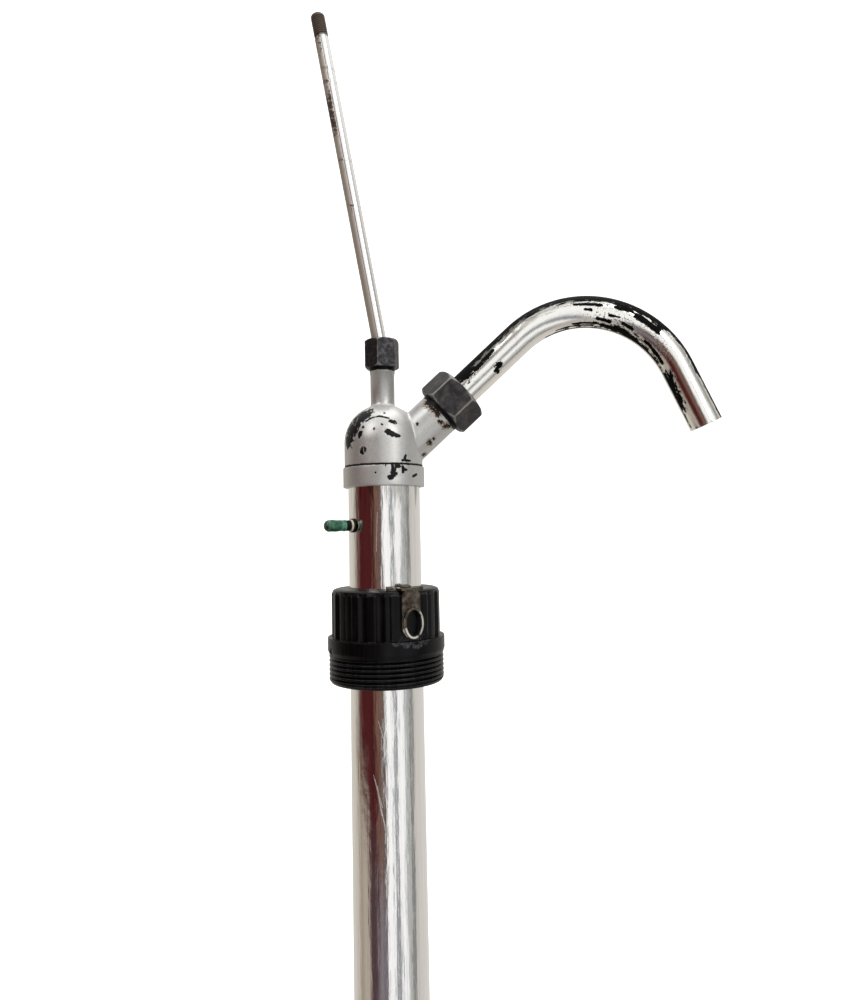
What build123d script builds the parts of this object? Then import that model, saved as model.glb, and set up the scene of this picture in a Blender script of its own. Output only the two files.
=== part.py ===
from build123d import *
import os
from math import cos, radians, sin, tan

# Hand pump for a 205 litre drum. Millimetres, +Z up along the pump tube.
# z = 0 is the underside of the bung adapter's flange, and +X is the way the spout points.

# Fits
RUN = 0.05              # radial clearance of a running or screwed fit
LOOSE = 0.35            # radial clearance where two pieces only pass each other

# Pump tube
TUBE_R = 19.05
TUBE_WALL = 1.5
BORE_R = TUBE_R - TUBE_WALL
TUBE_TOP = 102.0
TUBE_BOTTOM = -820.0

# Bung adapter, 2 inch pipe thread
THREAD_R = 29.8
THREAD_PITCH = 2.309
THREAD_LENGTH = 14.5
THREAD_RUN = 13.53              # height the groove climbs, to its run-out below the flange
THREAD_TURN = 50.0              # where the groove starts, round from +X
THREAD_DEPTH = 1.1
MOULD_FLAT = 29.6               # from the axis to the flats along the mould's parting line
FLANGE_R = 30.5
FLANGE_TOP = 8.3
GRIP_R = 28.25
GRIP_TOP = 33.0
GRIP_CHAMFER = 2.6
FLUTES = 20
FLUTE_R = 2.5
FLUTE_OUT = 0.9                 # from the grip's surface out to a flute's centre
FLUTE_FIRST = -3.0              # angle of one flute from the front
PAD_R = 28.9
PAD_ANGLES = (8.0, 50.0)        # from the front (-Y) towards the spout side
SEAL_Z = 18.0
SEAL_DEPTH = 3.0
SEAL_HEIGHT = 4.4

# Seal clip on the adapter
CLIP_ANGLE = 27.5
CLIP_WIDTH = 10.0
CLIP_THICK = 1.2
CLIP_DROP = 24.0
EYE_WIDTH = 8.5
EYE_HEIGHT = 13.0
EYE_ASIDE = 0.8                 # the eye stands a little to the tongue's right
LIP = 1.2
TAB_OUT_R = 25.3
TAB_IN_R = 20.65
TAB_SPREAD = 24.0
RIVET_R = 1.5
RIVET_FROM_AXIS = 23.4

# Head casting and its branch
COLLAR_R = 21.65
COLLAR_BOTTOM = 85.5
COLLAR_TOP = 96.2
HEAD_BOTTOM = 96.8
HEAD_R = 20.85
DOME_Z = 109.4
HEAD_WALL = 3.0
NECK_R = 6.5
NECK_THREAD_R = 6.8
NECK_THREAD_BOTTOM = 147.0
NECK_TOP = 154.0
BRANCH_ANGLE = 42.5
BRANCH_Z = 97.0
BRANCH_R = 12.0
BRANCH_BORE_R = 7.75
BRANCH_ROOT = 14.0              # inside the dome, where the branch starts
BRANCH_END = 50.0
BRANCH_THREAD_START = 40.5

# Gland
GLAND_NUT_BOTTOM = 150.0
GLAND_NUT_TOP = 165.5
GLAND_NUT_AF = 17.0
PACKING_R = 5.2
PACKING_BOTTOM = 147.8
PACKING_TOP = 152.6
FOLLOWER_TOP = 154.6

# Rod
ROD_R = 4.0
ROD_LEAN = 9.7
ROD_BEND_Z = 157.9
ROD_VISIBLE = 200.0             # from the bend to the tip
ROD_THREAD = 13.0
ROD_PITCH = 1.25

# Piston, standing where the bent rod stops it
PISTON_Z = -612.0
PISTON_THICK = 14.0
PISTON_R = BORE_R - LOOSE
CUP_BACK_R = 14.4
VALVE_R = 15.0
VALVE_THICK = 2.0
VALVE_LIFT = 3.0
STOP_R = 10.5
STOP_THICK = 1.6
PISTON_NUT_AF = 13.0
PISTON_NUT_THICK = 6.5

# Foot valve
FOOT_TOP = -798.0
FOOT_SKIRT_BOTTOM = -834.0
BALL_R = 11.0
BALL_LIFT = 6.0
INLET_R = 7.0
STRAINER_BOTTOM = -852.0
STRAINER_WALL = 1.0

# Spout
NUT_START = 42.6
NUT_END = 58.6
NUT_AF = 29.0
NUT_SHOULDER = 54.4
SPOUT_R = 8.75
SPOUT_BORE_R = 7.5
SPOUT_STRAIGHT_END = 100.6
SPOUT_BEND_R = 54.0
SPOUT_BEND = 108.5
SPOUT_TAIL = 34.2
FERRULE_R = 11.3
FERRULE_THICK = 2.8
SPOUT_SEAL_THICK = 1.4

# Peg on the tube
PEG_ANGLE = 55.0                # from the front (-Y) away from the spout side
PEG_Z = 65.6
PEG_STUD_R = 2.0
PEG_SLEEVE_R = 3.1
PEG_SLEEVE_START = TUBE_R + 5.0
PEG_LENGTH = 16.45
PEG_STACK = (                   # node, start from the tube's axis, thickness, radius
    ("peg_lock_ring", TUBE_R + 0.2, 0.8, 3.65),
    ("peg_washer", TUBE_R + 1.05, 1.1, 3.1),
    ("peg_collar", TUBE_R + 2.2, 2.75, 2.8))

os.makedirs("parts", exist_ok=True)


def front_plane(angle, height=0.0):
    """Upright plane facing outwards at an angle from the front: x level, y up, z outwards."""
    outward = (sin(radians(angle)), -cos(radians(angle)), 0)
    level = (cos(radians(angle)), sin(radians(angle)), 0)
    return Plane(origin=(0, 0, height), x_dir=level, z_dir=outward)


def thread_groove(radius, pitch, length, depth):
    """Helical V groove along +Z, to cut a thread into a cylinder of this radius."""
    with BuildPart() as groove:
        with BuildLine() as path:
            helix = Helix(pitch=pitch, height=length, radius=radius)
        half = depth * tan(radians(27.5)) + 0.06 * pitch
        with BuildSketch(Plane(origin=helix @ 0, x_dir=(1, 0, 0), z_dir=helix % 0)):
            with BuildLine():
                Polyline((0.3, -half), (-depth, -0.06 * pitch), (-depth, 0.06 * pitch), (0.3, half), close=True)
            make_face()
        sweep(path=path.line, is_frenet=True)
    return groove.part


def hex_nut(across_flats, height, chamfer):
    """Solid hexagon on XY with both ends turned to a cone, a flat facing -Y."""
    across_corners = across_flats / cos(radians(30))
    with BuildPart() as nut:
        with BuildSketch():
            RegularPolygon(across_flats / 2, 6, major_radius=False, rotation=30)
        extrude(amount=height)
        with BuildSketch(Plane.XZ):
            with BuildLine():
                edge = across_corners / 2 + 0.1
                Polyline(
                    (0, 0), (edge - 2 * chamfer, 0), (edge, chamfer),
                    (edge, height - chamfer), (edge - 2 * chamfer, height), (0, height), close=True)
            make_face()
        revolve(axis=Axis.Z, mode=Mode.INTERSECT)
    return nut.part


def save(part, name):
    part.label = name
    export_step(part, f"parts/{name}.step")


rivet_at = (RIVET_FROM_AXIS * sin(radians(CLIP_ANGLE)), -RIVET_FROM_AXIS * cos(radians(CLIP_ANGLE)))

# --- Bung adapter: fluted grip, narrow flange and 2 inch thread, bored for the pump tube
with BuildPart() as adapter_body:
    with BuildSketch(Plane.XZ):
        with BuildLine():
            Polyline(
                (TUBE_R + RUN, -THREAD_LENGTH), (THREAD_R - 1.0, -THREAD_LENGTH),
                (THREAD_R, -THREAD_LENGTH + 1.6), (THREAD_R, 0), (FLANGE_R, 1.8), (FLANGE_R, FLANGE_TOP),
                (GRIP_R, FLANGE_TOP), (GRIP_R, GRIP_TOP - GRIP_CHAMFER), (GRIP_R - 0.7, GRIP_TOP - 0.7),
                (GRIP_R - GRIP_CHAMFER, GRIP_TOP), (TUBE_R + RUN, GRIP_TOP), close=True)
        make_face()
    revolve(axis=Axis.Z)
    # Flutes all round, except where the plain pad is
    flute_angles = [FLUTE_FIRST + 360 / FLUTES * k for k in range(FLUTES)]
    pad_mid, pad_half = sum(PAD_ANGLES) / 2, (PAD_ANGLES[1] - PAD_ANGLES[0]) / 2
    for angle in flute_angles:
        if abs((angle - pad_mid + 180) % 360 - 180) < pad_half + 2:
            continue
        turn = radians(angle)
        flute_at = (GRIP_R + FLUTE_OUT) * sin(turn), -(GRIP_R + FLUTE_OUT) * cos(turn)
        with BuildSketch(Plane.XY.offset(FLANGE_TOP)):
            with Locations(flute_at):
                Circle(FLUTE_R)
        extrude(amount=GRIP_TOP - FLANGE_TOP - 1.2, mode=Mode.SUBTRACT)
    # Plain pad under the clip
    with BuildSketch(Plane.XY.offset(FLANGE_TOP)):
        with BuildLine():
            pad_outer = CenterArc((0, 0), PAD_R, PAD_ANGLES[0] - 90, PAD_ANGLES[1] - PAD_ANGLES[0])
            pad_inner = CenterArc((0, 0), GRIP_R - 3, PAD_ANGLES[0] - 90, PAD_ANGLES[1] - PAD_ANGLES[0])
            Line(pad_outer @ 0, pad_inner @ 0)
            Line(pad_outer @ 1, pad_inner @ 1)
        make_face()
    extrude(amount=GRIP_TOP - FLANGE_TOP - 1.6)
    # Ring groove for the tube seal
    with BuildSketch(Plane.XZ):
        with Locations((TUBE_R + SEAL_DEPTH / 2, SEAL_Z)):
            Rectangle(SEAL_DEPTH, SEAL_HEIGHT)
    revolve(axis=Axis.Z, mode=Mode.SUBTRACT)
    # Blind hole for the clip's rivet
    with BuildSketch(Plane.XY.offset(GRIP_TOP)):
        with Locations(rivet_at):
            Circle(RIVET_R + RUN)
    extrude(amount=-6, mode=Mode.SUBTRACT)
    # Thread, relieved along the mould's parting line on both sides
    with Locations(Location((0, 0, -THREAD_LENGTH - 0.4), (0, 0, THREAD_TURN))):
        add(thread_groove(THREAD_R, THREAD_PITCH, THREAD_RUN, THREAD_DEPTH), mode=Mode.SUBTRACT)
    with BuildSketch(Plane.XY.offset(-THREAD_LENGTH)):
        with Locations((MOULD_FLAT + 1, 0), (-MOULD_FLAT - 1, 0)):
            Rectangle(2, THREAD_R)
    extrude(amount=THREAD_LENGTH, mode=Mode.SUBTRACT)
save(adapter_body.part, "adapter_body")

# --- Ring seal in the adapter that grips the pump tube
with BuildPart() as tube_seal:
    with BuildSketch(Plane.XZ):
        with Locations((TUBE_R + SEAL_DEPTH / 2, SEAL_Z)):
            RectangleRounded(SEAL_DEPTH - 0.08, SEAL_HEIGHT - 0.2, 1.2)
    revolve(axis=Axis.Z)
save(tube_seal.part, "tube_seal")

# --- Seal clip: a flat tab on the adapter, bent down over the pad into an eye with a rolled lip
clip_face = front_plane(CLIP_ANGLE)
clip_outer = PAD_R + 0.3 + CLIP_THICK
clip_z = GRIP_TOP + 0.02
eye_z = clip_z + CLIP_THICK - CLIP_DROP + EYE_HEIGHT / 2 + 0.5
with BuildPart() as seal_clip:
    # Tab, widening towards the tube
    with BuildSketch(Plane.XY.offset(clip_z)):
        with BuildLine():
            tab_out = CenterArc((0, 0), TAB_OUT_R, CLIP_ANGLE - 90 - TAB_SPREAD, 2 * TAB_SPREAD)
            tab_in = CenterArc((0, 0), TAB_IN_R, CLIP_ANGLE - 90 - TAB_SPREAD, 2 * TAB_SPREAD)
            Line(tab_out @ 0, tab_in @ 0)
            Line(tab_out @ 1, tab_in @ 1)
        make_face()
        with Locations(Location((0, 0, 0), CLIP_ANGLE)):
            with Locations((0, -(clip_outer + 22) / 2)):
                Rectangle(CLIP_WIDTH, clip_outer - 22)
    extrude(amount=CLIP_THICK)
    # Tongue
    with BuildSketch(clip_face.offset(clip_outer - CLIP_THICK)):
        with Locations((0, clip_z + CLIP_THICK - CLIP_DROP / 2)):
            tongue = Rectangle(CLIP_WIDTH, CLIP_DROP)
        fillet(tongue.vertices().group_by(Axis.Z)[0], CLIP_WIDTH / 2 - 0.2)
    extrude(amount=CLIP_THICK)
    outer_bend = seal_clip.edges().filter_by(GeomType.LINE).group_by(Axis.Z)[-1].sort_by(
        Axis((0, 0, 0), clip_face.z_dir))[-1]
    fillet(outer_bend, CLIP_THICK - 0.2)
    # Rolled lip round the eye, standing off the tongue
    with BuildSketch(clip_face.offset(clip_outer - 0.2)):
        with Locations((EYE_ASIDE, eye_z)):
            Ellipse(EYE_WIDTH / 2 + LIP, EYE_HEIGHT / 2 + LIP)
    extrude(amount=1.5)
    fillet(seal_clip.faces().sort_by(Axis((0, 0, 0), clip_face.z_dir))[-1].edges(), 0.7)
    with BuildSketch(clip_face.offset(clip_outer - 2)):
        with Locations((EYE_ASIDE, eye_z)):
            Ellipse(EYE_WIDTH / 2, EYE_HEIGHT / 2)
    extrude(amount=5, mode=Mode.SUBTRACT)
    with BuildSketch(Plane.XY.offset(clip_z)):
        with Locations(rivet_at):
            Circle(RIVET_R + RUN)
    extrude(amount=CLIP_THICK, mode=Mode.SUBTRACT)
save(seal_clip.part, "seal_clip")

# --- Rivet that holds the clip down
with BuildPart() as clip_rivet:
    with BuildSketch(Plane.XY.offset(GRIP_TOP - 5.5)):
        with Locations(rivet_at):
            Circle(RIVET_R)
    extrude(amount=clip_z + CLIP_THICK - GRIP_TOP + 5.6)
    with BuildSketch(Plane.XY.offset(clip_z + CLIP_THICK + 0.03)):
        with Locations(rivet_at):
            Circle(2 * RIVET_R)
    extrude(amount=1.3)
    fillet(clip_rivet.faces().sort_by(Axis.Z)[-1].edges(), 1.1)
save(clip_rivet.part, "clip_rivet")

# --- Pump tube
with BuildPart() as pump_tube:
    with BuildSketch(Plane.XY.offset(TUBE_BOTTOM)):
        Circle(TUBE_R)
        Circle(BORE_R, mode=Mode.SUBTRACT)
    extrude(amount=TUBE_TOP - TUBE_BOTTOM)
    with BuildSketch(front_plane(-PEG_ANGLE, PEG_Z)):
        Circle(PEG_STUD_R + RUN)
    extrude(amount=TUBE_R + 5, mode=Mode.SUBTRACT)
save(pump_tube.part, "pump_tube")

# --- Collar brazed round the tube, which the head screws down on
with BuildPart() as tube_collar:
    with BuildSketch(Plane.XY.offset(COLLAR_BOTTOM)):
        Circle(COLLAR_R)
        Circle(TUBE_R + RUN, mode=Mode.SUBTRACT)
    extrude(amount=COLLAR_TOP - COLLAR_BOTTOM)
    chamfer(tube_collar.edges().filter_by(GeomType.CIRCLE).sort_by(SortBy.RADIUS)[-2:], 0.5)
save(tube_collar.part, "tube_collar")

# --- Flat gasket in the seam under the head
with BuildPart() as head_gasket:
    with BuildSketch(Plane.XY.offset(COLLAR_TOP + 0.02)):
        Circle(HEAD_R - 0.35)
        Circle(TUBE_R + RUN, mode=Mode.SUBTRACT)
    extrude(amount=HEAD_BOTTOM - COLLAR_TOP - 0.04)
save(head_gasket.part, "head_gasket")

# --- Head casting: domed chamber, neck for the gland and slanted outlet branch
branch = Plane(
    origin=(0, 0, BRANCH_Z), x_dir=(0, 1, 0),
    z_dir=(cos(radians(BRANCH_ANGLE)), 0, sin(radians(BRANCH_ANGLE))))
chamber_r = HEAD_R - HEAD_WALL
with BuildPart() as head_casting:
    with BuildSketch(Plane.XZ):
        with BuildLine():
            dome = CenterArc((0, DOME_Z), HEAD_R, 0, 90)
            Polyline(dome @ 0, (HEAD_R, HEAD_BOTTOM), (0, HEAD_BOTTOM), dome @ 1)
        make_face()
    revolve(axis=Axis.Z)
    with BuildSketch(Plane.XY.offset(DOME_Z)):
        Circle(NECK_R)
    extrude(amount=NECK_THREAD_BOTTOM - DOME_Z)
    with BuildSketch(branch.offset(BRANCH_ROOT)):
        Circle(BRANCH_R)
    extrude(amount=BRANCH_END - BRANCH_ROOT)
    neck_root = head_casting.edges().filter_by(GeomType.CIRCLE).filter_by(
        lambda e: e.is_closed and DOME_Z < e.center().Z < NECK_THREAD_BOTTOM - 2 and e.radius == NECK_R)
    fillet(neck_root, 2.0)
    branch_root = head_casting.edges().filter_by(
        lambda e: e.geom_type not in (GeomType.LINE, GeomType.CIRCLE))
    fillet(branch_root, 1.5)
    with BuildSketch(Plane.XY.offset(NECK_THREAD_BOTTOM)):
        Circle(NECK_THREAD_R)
    extrude(amount=NECK_TOP - NECK_THREAD_BOTTOM)
    # Inside: tube socket, chamber, rod guide, stuffing box and outlet bore
    with BuildSketch(Plane.XZ):
        with BuildLine():
            inner_dome = CenterArc((0, DOME_Z), chamber_r, 0, 90)
            Polyline(
                inner_dome @ 0, (chamber_r, TUBE_TOP + 0.1), (TUBE_R + RUN, TUBE_TOP + 0.1),
                (TUBE_R + RUN, HEAD_BOTTOM), (0, HEAD_BOTTOM), inner_dome @ 1)
        make_face()
    revolve(axis=Axis.Z, mode=Mode.SUBTRACT)
    with BuildSketch(Plane.XY.offset(DOME_Z)):
        Circle(ROD_R + RUN)
    extrude(amount=NECK_TOP - DOME_Z, mode=Mode.SUBTRACT)
    with BuildSketch(Plane.XY.offset(PACKING_BOTTOM)):
        Circle(PACKING_R)
    extrude(amount=NECK_TOP - PACKING_BOTTOM, mode=Mode.SUBTRACT)
    with BuildSketch(branch.offset(BRANCH_ROOT)):
        Circle(BRANCH_BORE_R)
    extrude(amount=BRANCH_END - BRANCH_ROOT, mode=Mode.SUBTRACT)
    with Locations((0, 0, NECK_THREAD_BOTTOM)):
        add(thread_groove(NECK_THREAD_R, 1.25, NECK_TOP - NECK_THREAD_BOTTOM + 1, 0.5), mode=Mode.SUBTRACT)
    branch_groove = thread_groove(BRANCH_R, 1.5, BRANCH_END - BRANCH_THREAD_START + 1.2, 0.7)
    add(branch_groove.moved(branch.offset(BRANCH_THREAD_START).location), mode=Mode.SUBTRACT)
save(head_casting.part, "head_casting")

# --- Gland: packing ring, follower and nut
with BuildPart() as gland_packing:
    with BuildSketch(Plane.XY.offset(PACKING_BOTTOM + 0.02)):
        Circle(PACKING_R - 0.03)
        Circle(ROD_R + RUN, mode=Mode.SUBTRACT)
    extrude(amount=PACKING_TOP - PACKING_BOTTOM - 0.04)
save(gland_packing.part, "gland_packing")

with BuildPart() as gland_follower:
    with BuildSketch(Plane.XY.offset(PACKING_TOP)):
        Circle(PACKING_R - 0.05)
        Circle(ROD_R + LOOSE, mode=Mode.SUBTRACT)
    extrude(amount=FOLLOWER_TOP - PACKING_TOP)
save(gland_follower.part, "gland_follower")

with BuildPart() as gland_nut:
    with Locations(Location((0, 0, GLAND_NUT_BOTTOM), (0, 0, 19))):
        add(hex_nut(GLAND_NUT_AF, GLAND_NUT_TOP - GLAND_NUT_BOTTOM, 0.9))
    # Screw thread below a shoulder, then a mouth flared to clear the leaning rod
    with BuildSketch(Plane.XZ):
        with BuildLine():
            shoulder = FOLLOWER_TOP + 0.05
            throat = shoulder + 1.6
            mouth_r = ROD_R + LOOSE + tan(radians(ROD_LEAN + 0.6)) * (GLAND_NUT_TOP - throat) + 0.1
            Polyline(
                (0, GLAND_NUT_BOTTOM - 1), (NECK_THREAD_R + RUN, GLAND_NUT_BOTTOM - 1),
                (NECK_THREAD_R + RUN, shoulder), (ROD_R + LOOSE, shoulder), (ROD_R + LOOSE, throat),
                (mouth_r, GLAND_NUT_TOP + 0.01), (0, GLAND_NUT_TOP + 0.01), close=True)
        make_face()
    revolve(axis=Axis.Z, mode=Mode.SUBTRACT)
save(gland_nut.part, "gland_nut")

# --- Pump rod: straight down the tube, bent where it leaves the gland, threaded tip
lean = radians(ROD_LEAN)
rod_up = Plane(origin=(0, 0, ROD_BEND_Z), x_dir=(0, 1, 0), z_dir=(-sin(lean), 0, cos(lean)))
rod_foot = PISTON_Z - PISTON_NUT_THICK - 2.0
with BuildPart() as pump_rod:
    with BuildSketch(Plane.XY.offset(rod_foot)):
        Circle(ROD_R)
    extrude(amount=ROD_BEND_Z - rod_foot)
    with BuildSketch(rod_up):
        Circle(ROD_R)
    extrude(amount=ROD_VISIBLE - ROD_THREAD - 1.2)
    with Locations((0, 0, ROD_BEND_Z)):
        Sphere(ROD_R)
    with BuildSketch(rod_up.offset(ROD_VISIBLE - ROD_THREAD - 1.2)):
        Circle(ROD_R - 0.7)
    extrude(amount=1.2)
    with BuildSketch(rod_up.offset(ROD_VISIBLE - ROD_THREAD)):
        Circle(ROD_R)
    extrude(amount=ROD_THREAD)
    fillet(pump_rod.faces().sort_by(Axis((0, 0, 0), rod_up.z_dir))[-1].edges(), 1.5)
    chamfer(pump_rod.faces().sort_by(Axis.Z)[0].edges(), 0.6)
    tip_groove = thread_groove(ROD_R, ROD_PITCH, ROD_THREAD + 0.6, 0.65)
    add(tip_groove.moved(rod_up.offset(ROD_VISIBLE - ROD_THREAD - 0.3).location), mode=Mode.SUBTRACT)
save(pump_rod.part, "pump_rod")

# --- Piston: ported disc with a cup seal, clamped between two nuts
with BuildPart() as piston_body:
    with BuildSketch(Plane.XZ):
        with BuildLine():
            Polyline(
                (ROD_R + RUN, PISTON_Z), (PISTON_R, PISTON_Z), (PISTON_R, PISTON_Z + 3.5),
                (CUP_BACK_R, PISTON_Z + 3.5), (CUP_BACK_R, PISTON_Z + 10.5), (PISTON_R, PISTON_Z + 10.5),
                (PISTON_R, PISTON_Z + PISTON_THICK), (ROD_R + RUN, PISTON_Z + PISTON_THICK), close=True)
        make_face()
    revolve(axis=Axis.Z)
    with BuildSketch(Plane.XY.offset(PISTON_Z)):
        with PolarLocations(10.8, 6):
            Circle(2.0)
    extrude(amount=PISTON_THICK, mode=Mode.SUBTRACT)
save(piston_body.part, "piston_body")

with BuildPart() as piston_cup:
    with BuildSketch(Plane.XZ):
        with BuildLine():
            cup_out = BORE_R - RUN
            Polyline(
                (CUP_BACK_R + 0.04, PISTON_Z + 3.6), (cup_out - 0.5, PISTON_Z + 3.6), (cup_out, PISTON_Z + 5.0),
                (cup_out, PISTON_Z + 10.4), (cup_out - 1.0, PISTON_Z + 10.4), (cup_out - 1.6, PISTON_Z + 6.4),
                (CUP_BACK_R + 0.04, PISTON_Z + 6.4), close=True)
        make_face()
    revolve(axis=Axis.Z)
save(piston_cup.part, "piston_cup")

valve_z = PISTON_Z + PISTON_THICK + 0.02
with BuildPart() as piston_valve:
    with BuildSketch(Plane.XY.offset(valve_z)):
        Circle(VALVE_R)
        Circle(ROD_R + LOOSE, mode=Mode.SUBTRACT)
    extrude(amount=VALVE_THICK)
save(piston_valve.part, "piston_valve")

stop_z = valve_z + VALVE_THICK + VALVE_LIFT + 0.1
with BuildPart() as valve_stop:
    with BuildSketch(Plane.XY.offset(stop_z)):
        Circle(STOP_R)
        Circle(ROD_R + RUN, mode=Mode.SUBTRACT)
    extrude(amount=STOP_THICK)
save(valve_stop.part, "valve_stop")

with BuildPart() as piston_nuts:
    with Locations((0, 0, PISTON_Z - 0.02 - PISTON_NUT_THICK), (0, 0, stop_z + STOP_THICK + 0.02)):
        add(hex_nut(PISTON_NUT_AF, PISTON_NUT_THICK, 0.6))
    with BuildSketch(Plane.XY.offset(rod_foot)):
        Circle(ROD_R + RUN)
    extrude(amount=stop_z + 2 * PISTON_NUT_THICK - rod_foot, mode=Mode.SUBTRACT)
save(piston_nuts.part, "piston_nuts")

# --- Foot valve: body pushed into the tube's end, ball, cage pin and strainer
ball_z = FOOT_SKIRT_BOTTOM + 6.0 + (BALL_R * 2 ** 0.5 - INLET_R)
chamber_foot_r = BALL_R + 1.2
pin_z = ball_z + BALL_R + BALL_LIFT + 1.6
with BuildPart() as foot_valve_body:
    with BuildSketch(Plane.XZ):
        with BuildLine():
            seat_z = FOOT_SKIRT_BOTTOM + 6.0
            Polyline(
                (INLET_R, FOOT_SKIRT_BOTTOM), (BORE_R - 1.5, FOOT_SKIRT_BOTTOM),
                (BORE_R - 1.5, FOOT_SKIRT_BOTTOM + 9), (TUBE_R, FOOT_SKIRT_BOTTOM + 9),
                (TUBE_R, TUBE_BOTTOM - 0.02), (BORE_R - RUN, TUBE_BOTTOM - 0.02), (BORE_R - RUN, FOOT_TOP),
                (chamber_foot_r, FOOT_TOP), (chamber_foot_r, seat_z + chamber_foot_r - INLET_R),
                (INLET_R, seat_z), close=True)
        make_face()
    revolve(axis=Axis.Z)
    with BuildSketch(Plane.YZ):
        with Locations((0, pin_z)):
            Circle(1.5 + RUN)
    extrude(amount=BORE_R + 2, both=True, mode=Mode.SUBTRACT)
save(foot_valve_body.part, "foot_valve_body")

with BuildPart() as foot_ball:
    with Locations((0, 0, ball_z + 0.03)):
        Sphere(BALL_R)
save(foot_ball.part, "foot_ball")

with BuildPart() as ball_cage_pin:
    with BuildSketch(Plane.YZ):
        with Locations((0, pin_z)):
            Circle(1.5)
    extrude(amount=BORE_R - 0.4, both=True)
save(ball_cage_pin.part, "ball_cage_pin")

with BuildPart() as strainer:
    with BuildSketch(Plane.XY.offset(STRAINER_BOTTOM)):
        Circle(BORE_R)
    extrude(amount=FOOT_SKIRT_BOTTOM + 8.5 - STRAINER_BOTTOM)
    with BuildSketch(Plane.XY.offset(STRAINER_BOTTOM + STRAINER_WALL)):
        Circle(BORE_R - 1.5 + RUN)
    extrude(amount=FOOT_SKIRT_BOTTOM + 9 - STRAINER_BOTTOM, mode=Mode.SUBTRACT)
    for row_z in (STRAINER_BOTTOM + 4.5, STRAINER_BOTTOM + 9.5, STRAINER_BOTTOM + 14.5):
        for angle in range(0, 180, 30):
            with BuildSketch(front_plane(angle, row_z)):
                Circle(1.4)
            extrude(amount=BORE_R + 2, both=True, mode=Mode.SUBTRACT)
    with BuildSketch(Plane.XY.offset(STRAINER_BOTTOM)):
        Circle(1.4)
        with PolarLocations(6.5, 6):
            Circle(1.4)
        with PolarLocations(12.0, 10):
            Circle(1.4)
    extrude(amount=STRAINER_WALL, mode=Mode.SUBTRACT)
save(strainer.part, "strainer")

# --- Peg on the tube: threaded stud, lock ring, washer, collar and vinyl sleeve
peg = front_plane(-PEG_ANGLE, PEG_Z)
with BuildPart() as peg_stud:
    with BuildSketch(peg.offset(BORE_R + 0.3)):
        Circle(PEG_STUD_R)
    extrude(amount=TUBE_R + PEG_LENGTH - 2.0 - BORE_R - 0.3)
save(peg_stud.part, "peg_stud")

for name, start, thick, radius in PEG_STACK:
    with BuildPart() as ring:
        with BuildSketch(peg.offset(start)):
            Circle(radius)
            Circle(PEG_STUD_R + 0.03, mode=Mode.SUBTRACT)
        extrude(amount=thick)
        chamfer(ring.edges().filter_by(GeomType.CIRCLE).sort_by(SortBy.RADIUS)[-2:], 0.2)
    save(ring.part, name)

with BuildPart() as peg_sleeve:
    with BuildSketch(peg.offset(PEG_SLEEVE_START)):
        Circle(PEG_SLEEVE_R)
    extrude(amount=TUBE_R + PEG_LENGTH - PEG_SLEEVE_START)
    fillet(peg_sleeve.faces().sort_by(Axis((0, 0, 0), peg.z_dir))[-1].edges(), 1.8)
    with BuildSketch(peg.offset(PEG_SLEEVE_START)):
        Circle(PEG_STUD_R + 0.03)
    extrude(amount=TUBE_R + PEG_LENGTH - 1.9 - PEG_SLEEVE_START, mode=Mode.SUBTRACT)
save(peg_sleeve.part, "peg_sleeve")

# --- Spout: bent tube with a brazed ferrule, held to the branch by a seal and a nut
along, across = branch.z_dir, Vector(-sin(radians(BRANCH_ANGLE)), 0, cos(radians(BRANCH_ANGLE)))
spout_root = BRANCH_END + SPOUT_SEAL_THICK + 0.05
route_start = branch.origin + along * spout_root
route_bend = branch.origin + along * SPOUT_STRAIGHT_END
bend_centre = route_bend - across * SPOUT_BEND_R
exit_angle = radians(BRANCH_ANGLE - SPOUT_BEND)
half_angle = radians(BRANCH_ANGLE - SPOUT_BEND / 2)
bend_mid = bend_centre + Vector(-sin(half_angle), 0, cos(half_angle)) * SPOUT_BEND_R
bend_end = bend_centre + Vector(-sin(exit_angle), 0, cos(exit_angle)) * SPOUT_BEND_R
spout_end = bend_end + Vector(cos(exit_angle), 0, sin(exit_angle)) * SPOUT_TAIL
with BuildPart() as spout_tube:
    with BuildLine() as spout_route:
        Line(route_start, route_bend)
        ThreePointArc(route_bend, bend_mid, bend_end)
        Line(bend_end, spout_end)
    with BuildSketch(branch.offset(spout_root)):
        Circle(SPOUT_R)
        Circle(SPOUT_BORE_R, mode=Mode.SUBTRACT)
    sweep(path=spout_route.line)
save(spout_tube.part, "spout_tube")

with BuildPart() as spout_ferrule:
    with BuildSketch(branch.offset(spout_root)):
        Circle(FERRULE_R)
        Circle(SPOUT_R + 0.03, mode=Mode.SUBTRACT)
    extrude(amount=FERRULE_THICK)
save(spout_ferrule.part, "spout_ferrule")

with BuildPart() as spout_seal:
    with BuildSketch(branch.offset(BRANCH_END + 0.02)):
        Circle(FERRULE_R)
        Circle(SPOUT_BORE_R, mode=Mode.SUBTRACT)
    extrude(amount=SPOUT_SEAL_THICK)
save(spout_seal.part, "spout_seal")

with BuildPart() as spout_nut:
    add(hex_nut(NUT_AF, NUT_END - NUT_START, 1.2).rotate(Axis.Z, 90).moved(branch.offset(NUT_START).location))
    with BuildSketch(branch.offset(NUT_START)):
        Circle(BRANCH_R + RUN)
    extrude(amount=NUT_SHOULDER - NUT_START, mode=Mode.SUBTRACT)
    with BuildSketch(branch.offset(NUT_SHOULDER)):
        Circle(SPOUT_R + 0.3)
    extrude(amount=NUT_END - NUT_SHOULDER, mode=Mode.SUBTRACT)
save(spout_nut.part, "spout_nut")
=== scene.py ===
from math import cos, pi, radians, sin

import bmesh
import bpy
import numpy as np
from mathutils import Matrix, Vector


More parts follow.
